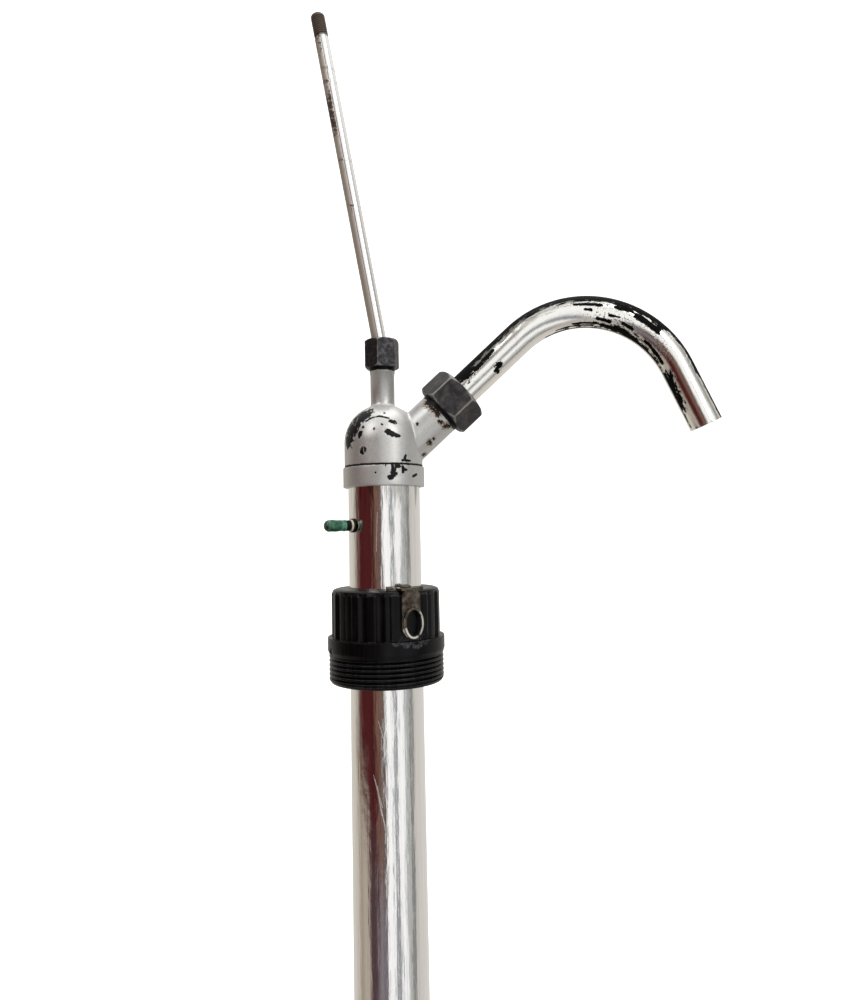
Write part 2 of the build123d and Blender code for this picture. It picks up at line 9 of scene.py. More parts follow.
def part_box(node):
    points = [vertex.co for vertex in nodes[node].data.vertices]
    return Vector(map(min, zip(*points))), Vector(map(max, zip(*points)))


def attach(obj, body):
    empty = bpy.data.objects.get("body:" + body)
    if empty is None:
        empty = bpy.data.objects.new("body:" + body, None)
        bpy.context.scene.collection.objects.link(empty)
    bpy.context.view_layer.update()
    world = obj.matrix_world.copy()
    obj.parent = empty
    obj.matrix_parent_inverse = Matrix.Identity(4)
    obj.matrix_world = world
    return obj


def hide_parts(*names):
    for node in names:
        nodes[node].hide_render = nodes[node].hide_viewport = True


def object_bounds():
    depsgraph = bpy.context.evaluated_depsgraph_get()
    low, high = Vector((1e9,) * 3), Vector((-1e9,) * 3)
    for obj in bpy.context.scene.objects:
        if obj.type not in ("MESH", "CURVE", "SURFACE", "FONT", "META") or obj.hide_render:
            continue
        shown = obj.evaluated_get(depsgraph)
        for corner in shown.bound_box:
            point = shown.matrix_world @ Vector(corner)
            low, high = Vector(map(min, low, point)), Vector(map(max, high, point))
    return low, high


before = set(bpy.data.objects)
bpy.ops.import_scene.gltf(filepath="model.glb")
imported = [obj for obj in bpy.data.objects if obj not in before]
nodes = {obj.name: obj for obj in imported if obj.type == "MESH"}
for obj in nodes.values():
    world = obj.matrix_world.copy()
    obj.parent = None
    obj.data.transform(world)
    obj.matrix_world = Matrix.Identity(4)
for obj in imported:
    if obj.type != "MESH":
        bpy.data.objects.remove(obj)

cad_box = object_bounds()

# --- Studio
# A pale seamless sweep stands all round the pump. The light is a bright room: white walls,
# a dark red curtain to the left and a few grey window posts, which the bright metal mirrors.


def srgb(code):
    """Linear colour from an sRGB hex value."""
    parts = [int(code[k:k + 2], 16) / 255 for k in (0, 2, 4)]
    return tuple(c / 12.92 if c < 0.04045 else ((c + 0.055) / 1.055) ** 2.4 for c in parts) + (1.0,)


def add(tree, kind, inputs=None, out=0, **settings):
    """Adds a node, sets its settings, sets or links its inputs, and returns one of its outputs."""
    made = tree.nodes.new(kind)
    for key, value in settings.items():
        setattr(made, key, value)
    for key, value in (inputs or {}).items():
        if isinstance(value, bpy.types.NodeSocket):
            tree.links.new(value, made.inputs[key])
        else:
            made.inputs[key].default_value = value
    return made.outputs[out] if len(made.outputs) else None


def calc(tree, operation, *values):
    return add(tree, "ShaderNodeMath", dict(enumerate(values)), operation=operation)


def fit(tree, value, low, high, at_low=0.0, at_high=1.0, **settings):
    """Value's place between low and high, as a number from at_low to at_high."""
    return add(tree, "ShaderNodeMapRange", {0: value, 1: low, 2: high, 3: at_low, 4: at_high}, **settings)


def mix(tree, factor, *ends):
    """Colour between two ends, each a socket or a hex value."""
    low, high = (srgb(end) if isinstance(end, str) else end for end in ends)
    return add(tree, "ShaderNodeMix", {0: factor, 6: low, 7: high}, out=2, data_type="RGBA")


def noise(tree, point, scale, detail, **inputs):
    return add(tree, "ShaderNodeTexNoise", {"Vector": point, "Scale": scale, "Detail": detail, **inputs})


def ramp(tree, value, stops):
    """Colour of value along (position, hex colour) stops."""
    colour = add(tree, "ShaderNodeValToRGB", {0: value})
    line = colour.node.color_ramp
    line.elements.remove(line.elements[-1])
    line.elements[0].position, line.elements[0].color = stops[0][0], srgb(stops[0][1])
    for position, code in stops[1:]:
        line.elements.new(position).color = srgb(code)
    return colour


def split(tree, vector):
    return add(tree, "ShaderNodeSeparateXYZ", {0: vector}).node.outputs


def new_material(name, **values):
    """Material with constants on its shader: returns it, its tree, its shader and Object coordinates."""
    made = bpy.data.materials.new(name)
    made.use_nodes = True
    shader = made.node_tree.nodes["Principled BSDF"]
    for key, value in values.items():
        shader.inputs[key.replace("_", " ")].default_value = value
    return made, made.node_tree, shader, add(made.node_tree, "ShaderNodeTexCoord", out="Object")


def plug(tree, shader, **sockets):
    """Links sockets to the shader's inputs of those names."""
    for key, socket in sockets.items():
        tree.links.new(socket, shader.inputs[key.replace("_", " ")])


# What stands round the pump, by compass angle from the camera's side, right positive
ROOM = [
    (-180, "d8d5d0"), (-116, "cbc5bb"), (-104, "8d857c"), (-92, "6b4a45"), (-84, "481c1c"),
    (-52, "4d1f20"), (-38, "3f1a1a"), (-30, "6d4a40"), (-20, "7a6358"), (-14, "5a4644"),
    (-8, "77706c"), (-3, "dedede"), (1, "ffffff"), (17, "ffffff"), (22, "9a9da2"), (30, "8d8f93"),
    (34, "f4f4f4"), (44, "ffffff"), (54, "eef0f0"), (62, "a0a4a4"), (68, "c9c8c6"), (74, "7b7b7a"),
    (82, "858684"), (88, "c6c3bd"), (120, "d2cfca"), (180, "d8d5d0")]

# The same walls lower down, where a tan bench front hides most of the curtain
ROOM_LOW = [
    (-180, "d8d5d0"), (-112, "c6bfb4"), (-98, "9b9184"), (-90, "a79c8d"), (-72, "b3aa9c"), (-63, "a89c90"),
    (-58, "5a4446"), (-46, "4a393d"), (-36, "5d5053"), (-26, "8a8186"), (-14, "67626c"), (-7, "8d8a90"),
    (-2, "f2f2f4"), (1, "ffffff"), (15, "ffffff"), (21, "8d9098"), (31, "7e828c"), (35, "eeeeee"),
    (44, "ffffff"), (54, "e4e4e6"), (62, "8c8e92"), (68, "cfcdcb"), (75, "6f6f72"), (82, "8f8d8b"),
    (88, "c9c5bf"), (120, "d2cfca"), (180, "d8d5d0")]

WORLD_STRENGTH = 1.15
world = bpy.data.worlds.new("bright_room")
bpy.context.scene.world = world
world.use_nodes = True
tree = world.node_tree
tree.nodes.clear()
way = split(tree, add(tree, "ShaderNodeTexCoord", out="Generated"))
toward = calc(tree, "MULTIPLY", way["Y"], -1.0)
compass = calc(tree, "ARCTAN2", way["X"], toward)
turn = fit(tree, compass, -pi, pi)
walls = ramp(tree, turn, [((angle + 180) / 360, code) for angle, code in ROOM])
low_walls = ramp(tree, turn, [((angle + 180) / 360, code) for angle, code in ROOM_LOW])
slant = calc(tree, "MULTIPLY_ADD", compass, 0.09, way["Z"])
lower = fit(tree, slant, -0.40, -0.50, interpolation_type="SMOOTHSTEP")
around = mix(tree, lower, walls, low_walls)
height = fit(tree, way["Z"], 0.45, 0.8, interpolation_type="SMOOTHSTEP")
ceiling = mix(tree, height, around, "f4f4f2")
depth = fit(tree, way["Z"], -0.7, -0.9, interpolation_type="SMOOTHSTEP")
room = mix(tree, depth, ceiling, "b9b4ad")
seen = add(tree, "ShaderNodeLightPath", out="Is Camera Ray")
backdrop = mix(tree, seen, room, "ffffff")
light = add(tree, "ShaderNodeBackground", {0: backdrop, 1: WORLD_STRENGTH})
add(tree, "ShaderNodeOutputWorld", {0: light})

SWEEP_RADIUS, SWEEP_RISE, SWEEP_SIDES = 9.0, 4.0, 64
WALL_RADIUS, WALL_TOP = 13.5, 22.0
floor_z = cad_box[0].z - 0.002


def floor_ring(radius, height):
    turns = [side * 2 * pi / SWEEP_SIDES for side in range(SWEEP_SIDES)]
    return [shape.verts.new((radius * cos(turn), radius * sin(turn), height)) for turn in turns]


sweep_mesh = bpy.data.meshes.new("floor_sweep")
shape = bmesh.new()
rings = []
for k in range(25):
    bend = max(0.0, (k - 12) / 12) * pi / 2
    out = SWEEP_RADIUS * min(k, 12) / 12 + SWEEP_RISE * sin(bend)
    rings.append(floor_ring(max(out, 0.01), floor_z + SWEEP_RISE * (1 - cos(bend))))
rings.append(floor_ring(WALL_RADIUS, floor_z + WALL_TOP))
shape.faces.new(rings[0])
for inner, outer in zip(rings, rings[1:]):
    for a in range(SWEEP_SIDES):
        shape.faces.new((inner[a], outer[a], outer[a - SWEEP_SIDES + 1], inner[a - SWEEP_SIDES + 1]))
shape.to_mesh(sweep_mesh)
shape.free()
sweep_mesh.shade_smooth()
floor = bpy.data.objects.new("floor_sweep", sweep_mesh)
bpy.context.collection.objects.link(floor)

# Matt white paper, lit from itself a little so that it has no horizon
paper, tree, surface, spot = new_material("white_studio_paper", Emission_Strength=0.8, Roughness=0.9)
tint = mix(tree, noise(tree, spot, 3.0, 2.0), "fafafa", "ffffff")
plug(tree, surface, Base_Color=tint, Emission_Color=tint)
sweep_mesh.materials.append(paper)
floor.visible_glossy = False
floor.visible_diffuse = False

LIGHTS = [  # name, place in m, width and height in m, watts
    ("window_left", (-1.3, -1.5, 1.5), (0.9, 1.5), 16),
    ("window_right", (1.1, -1.6, 1.1), (0.5, 1.6), 14),
    ("skylight", (0.2, 0.3, 2.3), (1.6, 1.6), 22)]
aim = Vector((0.02, 0, 0.08))
for name, place, (wide, tall), watts in LIGHTS:
    lamp = bpy.data.lights.new(name, "AREA")
    lamp.shape, lamp.size, lamp.size_y, lamp.energy = "RECTANGLE", wide, tall, watts
    lamp_object = bpy.data.objects.new(name, lamp)
    lamp_object.location = place
    lamp_object.rotation_euler = (aim - Vector(place)).to_track_quat("-Z", "Y").to_euler()
    bpy.context.collection.objects.link(lamp_object)

CAMERA_TILT, CAMERA_TURN = radians(90 + 5.42), radians(-1.21)
camera_data = bpy.data.cameras.new("camera")
camera_data.lens, camera_data.sensor_width, camera_data.shift_y = 26.64, 36.0, -0.04
camera = bpy.data.objects.new("camera", camera_data)
camera.location = (0.0222, -0.395, 0.0624)
camera.rotation_euler = (
    Matrix.Rotation(CAMERA_TILT, 3, "X") @ Matrix.Rotation(CAMERA_TURN, 3, "Z")).to_euler()
bpy.context.collection.objects.link(camera)
bpy.context.scene.camera = camera
bpy.context.scene.view_settings.view_transform = "Standard"

# --- Bung adapter
# Moulded in black nylon: a fluted grip, a narrow flange with a bevelled underside and a 2 inch
# thread. The plain pad on the grip carries the seal clip; its lower edge is chipped.


def rounded(corners, ease, step):
    """Closed outline through (radius, height) corners in mm, each eased, with points at most step apart.
    A third value in a corner is the step on the side that follows it."""
    steps = [corner[2] if len(corner) > 2 else step for corner in corners]
    corners = [Vector(corner[:2]) for corner in corners]
    line = []
    for k, corner in enumerate(corners):
        before, after = corners[k - 1] - corner, corners[(k + 1) % len(corners)] - corner
        start = corner + before.normalized() * min(ease, before.length * 0.4)
        end = corner + after.normalized() * min(ease, after.length * 0.4)
        line += [(start.lerp(corner, t).lerp(corner.lerp(end, t), t), steps[k])
                 for t in (0, 0.25, 0.5, 0.75, 1)]
    outline = []
    for (here, longest), (there, _) in zip(line, line[1:] + line[:1]):
        count = max(1, int((there - here).length / longest + 0.999))
        outline += [here.lerp(there, t / count) for t in range(count)]
    return [tuple(p) for p in outline]


def turned(name, outline, steps, reshape=None, place=None):
    """A body turned round Z from a closed outline in mm. reshape(angle, radius, height) varies its wall
    and place(points) stands or bends it. "skin" keeps angle, radius and height from before that."""
    radius, height = np.array(outline, float).T
    angle = np.linspace(-pi, pi, steps, endpoint=False)
    around, out = np.meshgrid(angle, radius)
    up = np.meshgrid(angle, height)[1]
    if reshape:
        out, up = reshape(around, out, up)
    points = np.stack([out * np.cos(around), out * np.sin(around), up], -1).reshape(-1, 3)
    skin = np.stack([around, out, up], -1).reshape(-1, 3)
    if place:
        points = place(points)
    row, column = np.meshgrid(np.arange(len(radius)), np.arange(steps), indexing="ij")
    below, beside = (row + 1) % len(radius), (column + 1) % steps
    faces = np.stack([row * steps + column, below * steps + column, below * steps + beside,
                      row * steps + beside], -1).reshape(-1, 4)
    mesh = bpy.data.meshes.new(name)
    mesh.from_pydata((points / 1000).tolist(), [], faces.tolist())
    mesh.attributes.new("skin", "FLOAT_VECTOR", "POINT").data.foreach_set("vector", skin.ravel())
    shape = bmesh.new()
    shape.from_mesh(mesh)
    bmesh.ops.remove_doubles(shape, verts=shape.verts, dist=1e-7)
    bmesh.ops.dissolve_degenerate(shape, edges=shape.edges, dist=1e-8)
    bmesh.ops.recalc_face_normals(shape, faces=shape.faces)
    shape.to_mesh(mesh)
    shape.free()
    mesh.shade_smooth()
    mesh.set_sharp_from_angle(angle=radians(50))
    piece = bpy.data.objects.new(name, mesh)
    bpy.context.collection.objects.link(piece)
    return piece


def mark_wear(piece, sharpest, spread):
    """Writes "wear" on the points: 0 on flats and hollows, 1 on edges as tight as sharpest in mm."""
    mesh = piece.data
    count = len(mesh.vertices)
    place = np.empty(count * 3)
    mesh.vertices.foreach_get("co", place)
    place = place.reshape(-1, 3) * 1000
    normal = np.array([v.normal for v in mesh.vertices])
    ends = np.array([e.vertices[:] for e in mesh.edges])
    span = place[ends[:, 1]] - place[ends[:, 0]]
    links, total, reach = np.zeros(count), np.zeros((count, 3)), np.zeros(count)
    for one, sign in ((0, 1), (1, -1)):
        np.add.at(links, ends[:, one], 1)
        np.add.at(total, ends[:, one], sign * span)
        np.add.at(reach, ends[:, one], (span ** 2).sum(1))
    bulge = -2 * (total * normal).sum(1) / np.maximum(reach, 1e-9)
    wear = np.clip(bulge * sharpest, 0, 1)
    for _ in range(spread):
        gathered = np.zeros(count)
        np.add.at(gathered, ends[:, 0], wear[ends[:, 1]])
        np.add.at(gathered, ends[:, 1], wear[ends[:, 0]])
        wear = np.maximum(wear * 0.9, gathered / np.maximum(links, 1))
    mesh.attributes.new("wear", "FLOAT", "POINT").data.foreach_set("value", wear)


def stored(tree, name, out):
    return add(tree, "ShaderNodeAttribute", out=out, attribute_name=name)


def stretch(tree, point, scale, rotation=(0.0, 0.0, 0.0)):
    return add(tree, "ShaderNodeMapping", {"Vector": point, "Scale": scale, "Rotation": rotation})


def emboss(tree, shader, height, strength, distance):
    """Gives the shader a bump of this height."""
    plug(tree, shader, Normal=add(
        tree, "ShaderNodeBump", {"Height": height, "Strength": strength, "Distance": distance}))


def dress(piece, material, slot, body, *replaced):
    """Puts the finish on a new piece and hands it to its body in place of CAD nodes."""
    piece.data.materials.clear()
    piece.data.materials.append(material)
    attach(piece, body)
    if replaced:
        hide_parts(*replaced)


THREAD_R, THREAD_PITCH, THREAD_DEPTH, THREAD_FOOT = 29.78, 2.309, 1.15, -14.5
FLANGE_R, FLANGE_TOP = 30.48, 8.3
GRIP_R, GRIP_TOP = 28.25, 33.0
BORE_R = 19.1
FLUTE_TURN, FLUTE_FIRST, FLUTE_R, FLUTE_OUT = 18.0, -3.0, 2.5, 0.9
PAD_R, PAD_FROM, PAD_TO = 28.88, 8.0, 50.0
CHIPS = [  # angle from the front in degrees, then height, size and depth in mm
    (12, 8.2, 1.7, 0.4), (22, 8.9, 3.0, 0.5), (33, 8.0, 3.4, 0.7), (43, 8.9, 2.6, 0.5), (-64, 2.0, 2.2, 0.5)]


def ease(value, low, high):
    """0 below low, 1 above high and a smooth step between."""
    t = np.clip((value - low) / (high - low), 0, 1)
    return t * t * (3 - 2 * t)


def adapter_wall(around, out, up):
    """Cuts the flutes, the pad, the thread and the chips into the turned adapter."""
    front = (np.degrees(around) + 90 + 180) % 360 - 180
    pad = ease(front, PAD_FROM - 0.6, PAD_FROM + 0.6) * (1 - ease(front, PAD_TO - 0.6, PAD_TO + 0.6))
    # Flutes in the grip
    grip = (out > 27.0) * (out < GRIP_R + 0.05) * ease(up, FLANGE_TOP - 0.1, FLANGE_TOP + 0.1)
    grip = grip * (1 - ease(up, 29.6, 31.9))
    across = np.radians((front - FLUTE_FIRST + FLUTE_TURN / 2) % FLUTE_TURN - FLUTE_TURN / 2) * GRIP_R
    depth = np.sqrt(np.maximum(FLUTE_R ** 2 - across ** 2, 0)) - FLUTE_OUT
    depth = 0.5 * (depth + np.sqrt(depth ** 2 + 0.06)) - 0.02
    fluted = (1 - ease(front, PAD_FROM - 3, PAD_FROM - 1) * (1 - ease(front, PAD_TO + 1, PAD_TO + 3)))
    out = out - depth * grip * fluted
    low_grip = (out > 26.0) * (out < GRIP_R + 0.05) * (up > FLANGE_TOP - 0.05)
    low_grip = low_grip * (1 - ease(up, 30.4, 31.4))
    out = out + np.maximum(PAD_R - out, 0) * pad * low_grip
    # Thread, running out under the flange and above the plain lead-in
    phase = (up / THREAD_PITCH - around / (2 * pi)) % 1
    valley = np.clip(1 - np.abs(phase - 0.5) / 0.36, 0, 1)
    threaded = (out > THREAD_R - 0.1) * (out < THREAD_R + 0.2)
    threaded = threaded * ease(up, -13.4, -12.4) * (1 - ease(up, -0.9, -0.2))
    out = out - THREAD_DEPTH * ease(valley, 0.0, 1.0) * threaded
    # Chips broken out of the pad's lower edge and the flange
    for chip_at, chip_z, size, deep in CHIPS:
        far = np.hypot(np.radians(front - chip_at) * FLANGE_R, up - chip_z) / size
        ragged = far + 0.22 * np.sin(5.1 * front + 3 * up) + 0.15 * np.sin(2.3 * front - 6 * up)
        out = out - deep * (out > 27.0) * (1 - ease(ragged, 0.4, 1.0))
    return out, up


adapter_outline = rounded([
    (BORE_R, THREAD_FOOT), (28.7, THREAD_FOOT), (29.3, -13.6), (THREAD_R, -12.9, 0.21), (THREAD_R, -0.05),
    (FLANGE_R, 1.8), (FLANGE_R, FLANGE_TOP), (GRIP_R, FLANGE_TOP, 0.9), (GRIP_R, 30.4), (27.55, 32.3),
    (25.65, GRIP_TOP, 2.0), (BORE_R, GRIP_TOP, 4.0)], 0.35, 0.45)
adapter = turned("bung_adapter", adapter_outline, 420, adapter_wall)
mark_wear(adapter, 0.9, 2)

# Nylon is satin black; handling polishes its edges grey and dust settles in the hollows
nylon, tree, surface, spot = new_material("moulded_black_nylon", IOR=1.53, Specular_IOR_Level=0.12)
wear = stored(tree, "wear", "Fac")
cloud = noise(tree, spot, 1000 / 14, 6.0)
grit = noise(tree, spot, 1000 / 0.9, 4.0)
long_way = stretch(tree, spot, (1.0, 1.0, 0.12))
scuff = noise(tree, long_way, 1000 / 1.3, 5.0)
rub = calc(tree, "MULTIPLY", wear, scuff)
rubbed = fit(tree, rub, 0.14, 0.6)
dusty = fit(tree, cloud, 0.5, 0.8)
base = mix(tree, dusty, "060607", "101013")
shade = mix(tree, rubbed, base, "34353a")
plug(tree, surface, Base_Color=shade)
gloss = fit(tree, scuff, 0.3, 0.7, 0.24, 0.42)
plug(tree, surface, Roughness=gloss)
polish = fit(tree, rubbed, 0.0, 1.0, 0.12, 0.35)
plug(tree, surface, Specular_IOR_Level=polish)
relief = calc(tree, "ADD", grit, scuff)
emboss(tree, surface, relief, 0.25, 0.00012)
dress(adapter, nylon, "black_plastic", "adapter", "adapter_body")

# --- Tube seal
# Square-edged nitrile ring inside the adapter, which grips the tube. Only its own groove sees it.
# Black rubber with a grey bloom
rubber, tree, surface, spot = new_material("smooth_nitrile", Roughness=0.5, IOR=1.52)
bloom = noise(tree, spot, 1000 / 4, 5.0)
shade = mix(tree, bloom, "101011", "242425")
plug(tree, surface, Base_Color=shade)
emboss(tree, surface, bloom, 0.15, 0.0001)


def finish_node(name, material):
    """Gives a CAD node that is shown as it is its finish."""
    nodes[name].data.materials.clear()
    nodes[name].data.materials.append(material)


for name in ("tube_seal", "piston_cup", "piston_valve", "spout_seal"):
    finish_node(name, rubber)

# --- Seal clip and its rivet
# Stamped mild steel, dull and stained brown in the corners, with a rolled lip round the eye that
# hands have polished, its brightness partly a painted highlight. The rivet holds its tab down on the
# adapter.


def softened(name, node, width):
    """A merged copy of a CAD node with its edges eased by width in mm."""
    piece = bpy.data.objects.new(name, nodes[node].data.copy())
    bpy.context.collection.objects.link(piece)
    shape = bmesh.new()
    shape.from_mesh(piece.data)
    bmesh.ops.remove_doubles(shape, verts=shape.verts, dist=2e-6)
    shape.to_mesh(piece.data)
    shape.free()
    piece.data.shade_smooth()
    piece.data.set_sharp_from_angle(angle=radians(32))
    if width:
        bevel = piece.modifiers.new("eased_edges", "BEVEL")
        bevel.width, bevel.segments, bevel.limit_method = width / 1000, 3, "ANGLE"
        bevel.angle_limit, bevel.harden_normals = radians(35), False
        bevel.miter_outer = "MITER_ARC"
    return piece


def strokes(tree, point, marks):
    """Distance from point to the nearest mark over its half width. A mark is (from, to, half width)."""
    nearest = None
    for start, end, half_width in marks:
        line = Vector(end) - Vector(start)
        if line.length < 0.01:
            line = Vector((0.0, 0.0, 0.01))
        offset = add(tree, "ShaderNodeVectorMath", {0: point, 1: start}, operation="SUBTRACT")
        along = line / line.length_squared
        part = add(tree, "ShaderNodeVectorMath", {0: offset, 1: along}, "Value", operation="DOT_PRODUCT")
        part = add(tree, "ShaderNodeClamp", {0: part})
        foot = add(tree, "ShaderNodeVectorMath", {0: tuple(line), "Scale": part}, operation="SCALE")
        gap = add(tree, "ShaderNodeVectorMath", {0: offset, 1: foot}, "Value", operation="DISTANCE")
        far = calc(tree, "DIVIDE", gap, half_width)
        nearest = far if nearest is None else calc(tree, "MINIMUM", nearest, far)
    return nearest


CLIP_TURN, EYE_Z, EYE_ASIDE = radians(27.5), 17.22, 0.8


def on_clip(aside, up, out=31.2):
    """A place on the clip in mm: to the right, above the eye's middle, out from the tube's axis."""
    aside += EYE_ASIDE
    x = out * sin(CLIP_TURN) + aside * cos(CLIP_TURN)
    y = aside * sin(CLIP_TURN) - out * cos(CLIP_TURN)
    return x, y, EYE_Z + up


def blend(tree, factor, low, high):
    return add(tree, "ShaderNodeMix", {0: factor, 2: low, 3: high})


def millimetres(tree, point):
    return add(tree, "ShaderNodeVectorMath", {0: point, "Scale": 1000.0}, operation="SCALE")


# Where the lip round the eye is bright: polished by hands, and a painted highlight on top
LIP_POLISH_AND_HIGHLIGHT = [(on_clip(*one), on_clip(*two), half) for one, two, half in (
    ((3.4, 5.2), (4.6, 3.4), 0.7), ((4.6, 3.4), (5.0, -1.5), 0.95), ((5.0, -1.5), (3.6, -5.2), 0.8),
    ((1.2, -6.9), (-2.6, -6.0), 1.15), ((-2.6, -6.0), (-4.6, -3.0), 1.2), ((-5.6, -2), (-5.4, 2.5), 0.5))]
# Dull steel, stained brown, bright where its lip is polished and where a highlight is painted on it
dull_steel, tree, surface, spot = new_material("dull_stamped_steel", Metallic=0.85)
blotch = noise(tree, spot, 1000 / 5, 8.0, Roughness=0.65)
fine = noise(tree, spot, 1000 / 0.7, 3.0)
stain = ramp(tree, blotch, [(0.3, "1c140d"), (0.44, "3d362d"), (0.58, "625c52"), (0.75, "827c72")])
gloss = fit(tree, blotch, 0.3, 0.7, 0.6, 0.36)
in_mm = millimetres(tree, spot)
lip_far = strokes(tree, in_mm, LIP_POLISH_AND_HIGHLIGHT)
lip_polish_and_highlight = fit(tree, lip_far, 0.6, 1.2, 1.0, 0.0)
# Pale steel on the lip: polish, and a painted highlight
shade = mix(tree, lip_polish_and_highlight, stain, "d2cdc3")
plug(tree, surface, Base_Color=shade)
rough = blend(tree, lip_polish_and_highlight, gloss, 0.24)
plug(tree, surface, Roughness=rough)
emboss(tree, surface, fine, 0.3, 0.0001)
clip = softened("seal_clip_steel", "seal_clip", 0.18)
dress(clip, dull_steel, "clip_steel", "adapter", "seal_clip")
rivet = softened("clip_rivet_steel", "clip_rivet", 0)
dress(rivet, dull_steel, "rivet_steel", "adapter", "clip_rivet")

# --- Pump tube
# Drawn steel tube, 1.5 mm wall, bright plated. Years of sliding through the adapter have left
# long fine lines and a few crossing scratches.
TUBE_R, TUBE_WALL = 19.05, 1.5
SCORES = [  # on the tube's skin in mm, round it from the front and up it: from, to, half width
    ((-6.5, -57, 0), (-4.4, -65, 0), 0.16), ((-4.4, -65, 0), (-2.5, -76, 0), 0.16),
    ((-5.7, -59, 0), (-2.2, -72, 0), 0.13), ((-4.6, -62, 0), (-0.9, -83, 0), 0.15),
    ((-3.2, -73, 0), (-0.6, -81, 0), 0.12), ((-0.9, -84, 0), (-1.1, -89, 0), 0.14),
    ((-3.6, -31, 0), (-0.4, -42, 0), 0.12), ((-0.4, -42, 0), (2.6, -58, 0), 0.11),
    ((3.7, -16, 0), (3.1, -27, 0), 0.14), ((-1.5, -30, 0), (-2.3, -45, 0), 0.1),
    ((5.4, 61, 0), (6.4, 44, 0), 0.11), ((-2.6, 72, 0), (-3.4, 52, 0), 0.1)]
tube_low, tube_high = (c.z * 1000 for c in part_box("pump_tube"))
tube = turned("plated_pump_tube", rounded([
    (TUBE_R - TUBE_WALL, tube_low), (TUBE_R, tube_low), (TUBE_R, tube_high),
    (TUBE_R - TUBE_WALL, tube_high)], 0.3, 18.0), 160)

# Bright plating with drawn lines, slow waves and scratches
plating, tree, surface, spot = new_material("bright_plated_steel", Metallic=1.0)
drawn = stretch(tree, spot, (1.0, 1.0, 0.006))
lines = noise(tree, drawn, 1000 / 1.1, 4.0)
sway = stretch(tree, spot, (1.0, 1.0, 0.16))
waves = noise(tree, sway, 1000 / 9, 3.0)
cross = stretch(tree, spot, (1.0, 1.0, 0.05), (0.35, 0.25, 0.0))
scratch = noise(tree, cross, 1000 / 7, 2.0)
middle = calc(tree, "SUBTRACT", scratch, 0.5)
thin = calc(tree, "ABSOLUTE", middle)
scored = fit(tree, thin, 0.0, 0.004, 1.0, 0.0)
haze = noise(tree, spot, 1000 / 30, 5.0)
here = fit(tree, haze, 0.48, 0.66)
score = calc(tree, "MULTIPLY", scored, here)
skin = split(tree, stored(tree, "skin", "Vector"))
from_front = calc(tree, "MULTIPLY_ADD", skin["X"], TUBE_R, TUBE_R * pi / 2)
flat = add(tree, "ShaderNodeCombineXYZ", {0: from_front, 1: skin["Z"]})
cut = fit(tree, strokes(tree, flat, SCORES), 0.6, 1.3, 1.0, 0.0)
score = calc(tree, "MAXIMUM", score, cut)
gloss = fit(tree, haze, 0.35, 0.7, 0.07, 0.16)
rough = blend(tree, score, gloss, 0.6)
plug(tree, surface, Roughness=rough)
tone = mix(tree, lines, "dcdad8", "f2f1ef")
# Brown runs under the collar
run_streak = stretch(tree, spot, (1.0, 1.0, 0.12))
runs = noise(tree, run_streak, 1000 / 3.2, 5.0)
near_collar = fit(tree, skin["Z"], 62.0, 86.0)
stain_at = calc(tree, "MULTIPLY_ADD", near_collar, 0.22, runs)
stained = fit(tree, stain_at, 0.68, 0.82, 0.0, 0.6)
tone = mix(tree, stained, tone, "6f655a")
plug(tree, surface, Base_Color=tone)
peel_way = stretch(tree, spot, (1.0, 1.0, 0.3))
peel = noise(tree, peel_way, 1000 / 1.8, 3.0)
wavy = calc(tree, "MULTIPLY_ADD", waves, 5.0, lines)
relief = calc(tree, "MULTIPLY_ADD", peel, 0.9, wavy)
emboss(tree, surface, relief, 0.16, 0.0006)
dress(tube, plating, "tube_chrome", "pump", "pump_tube")
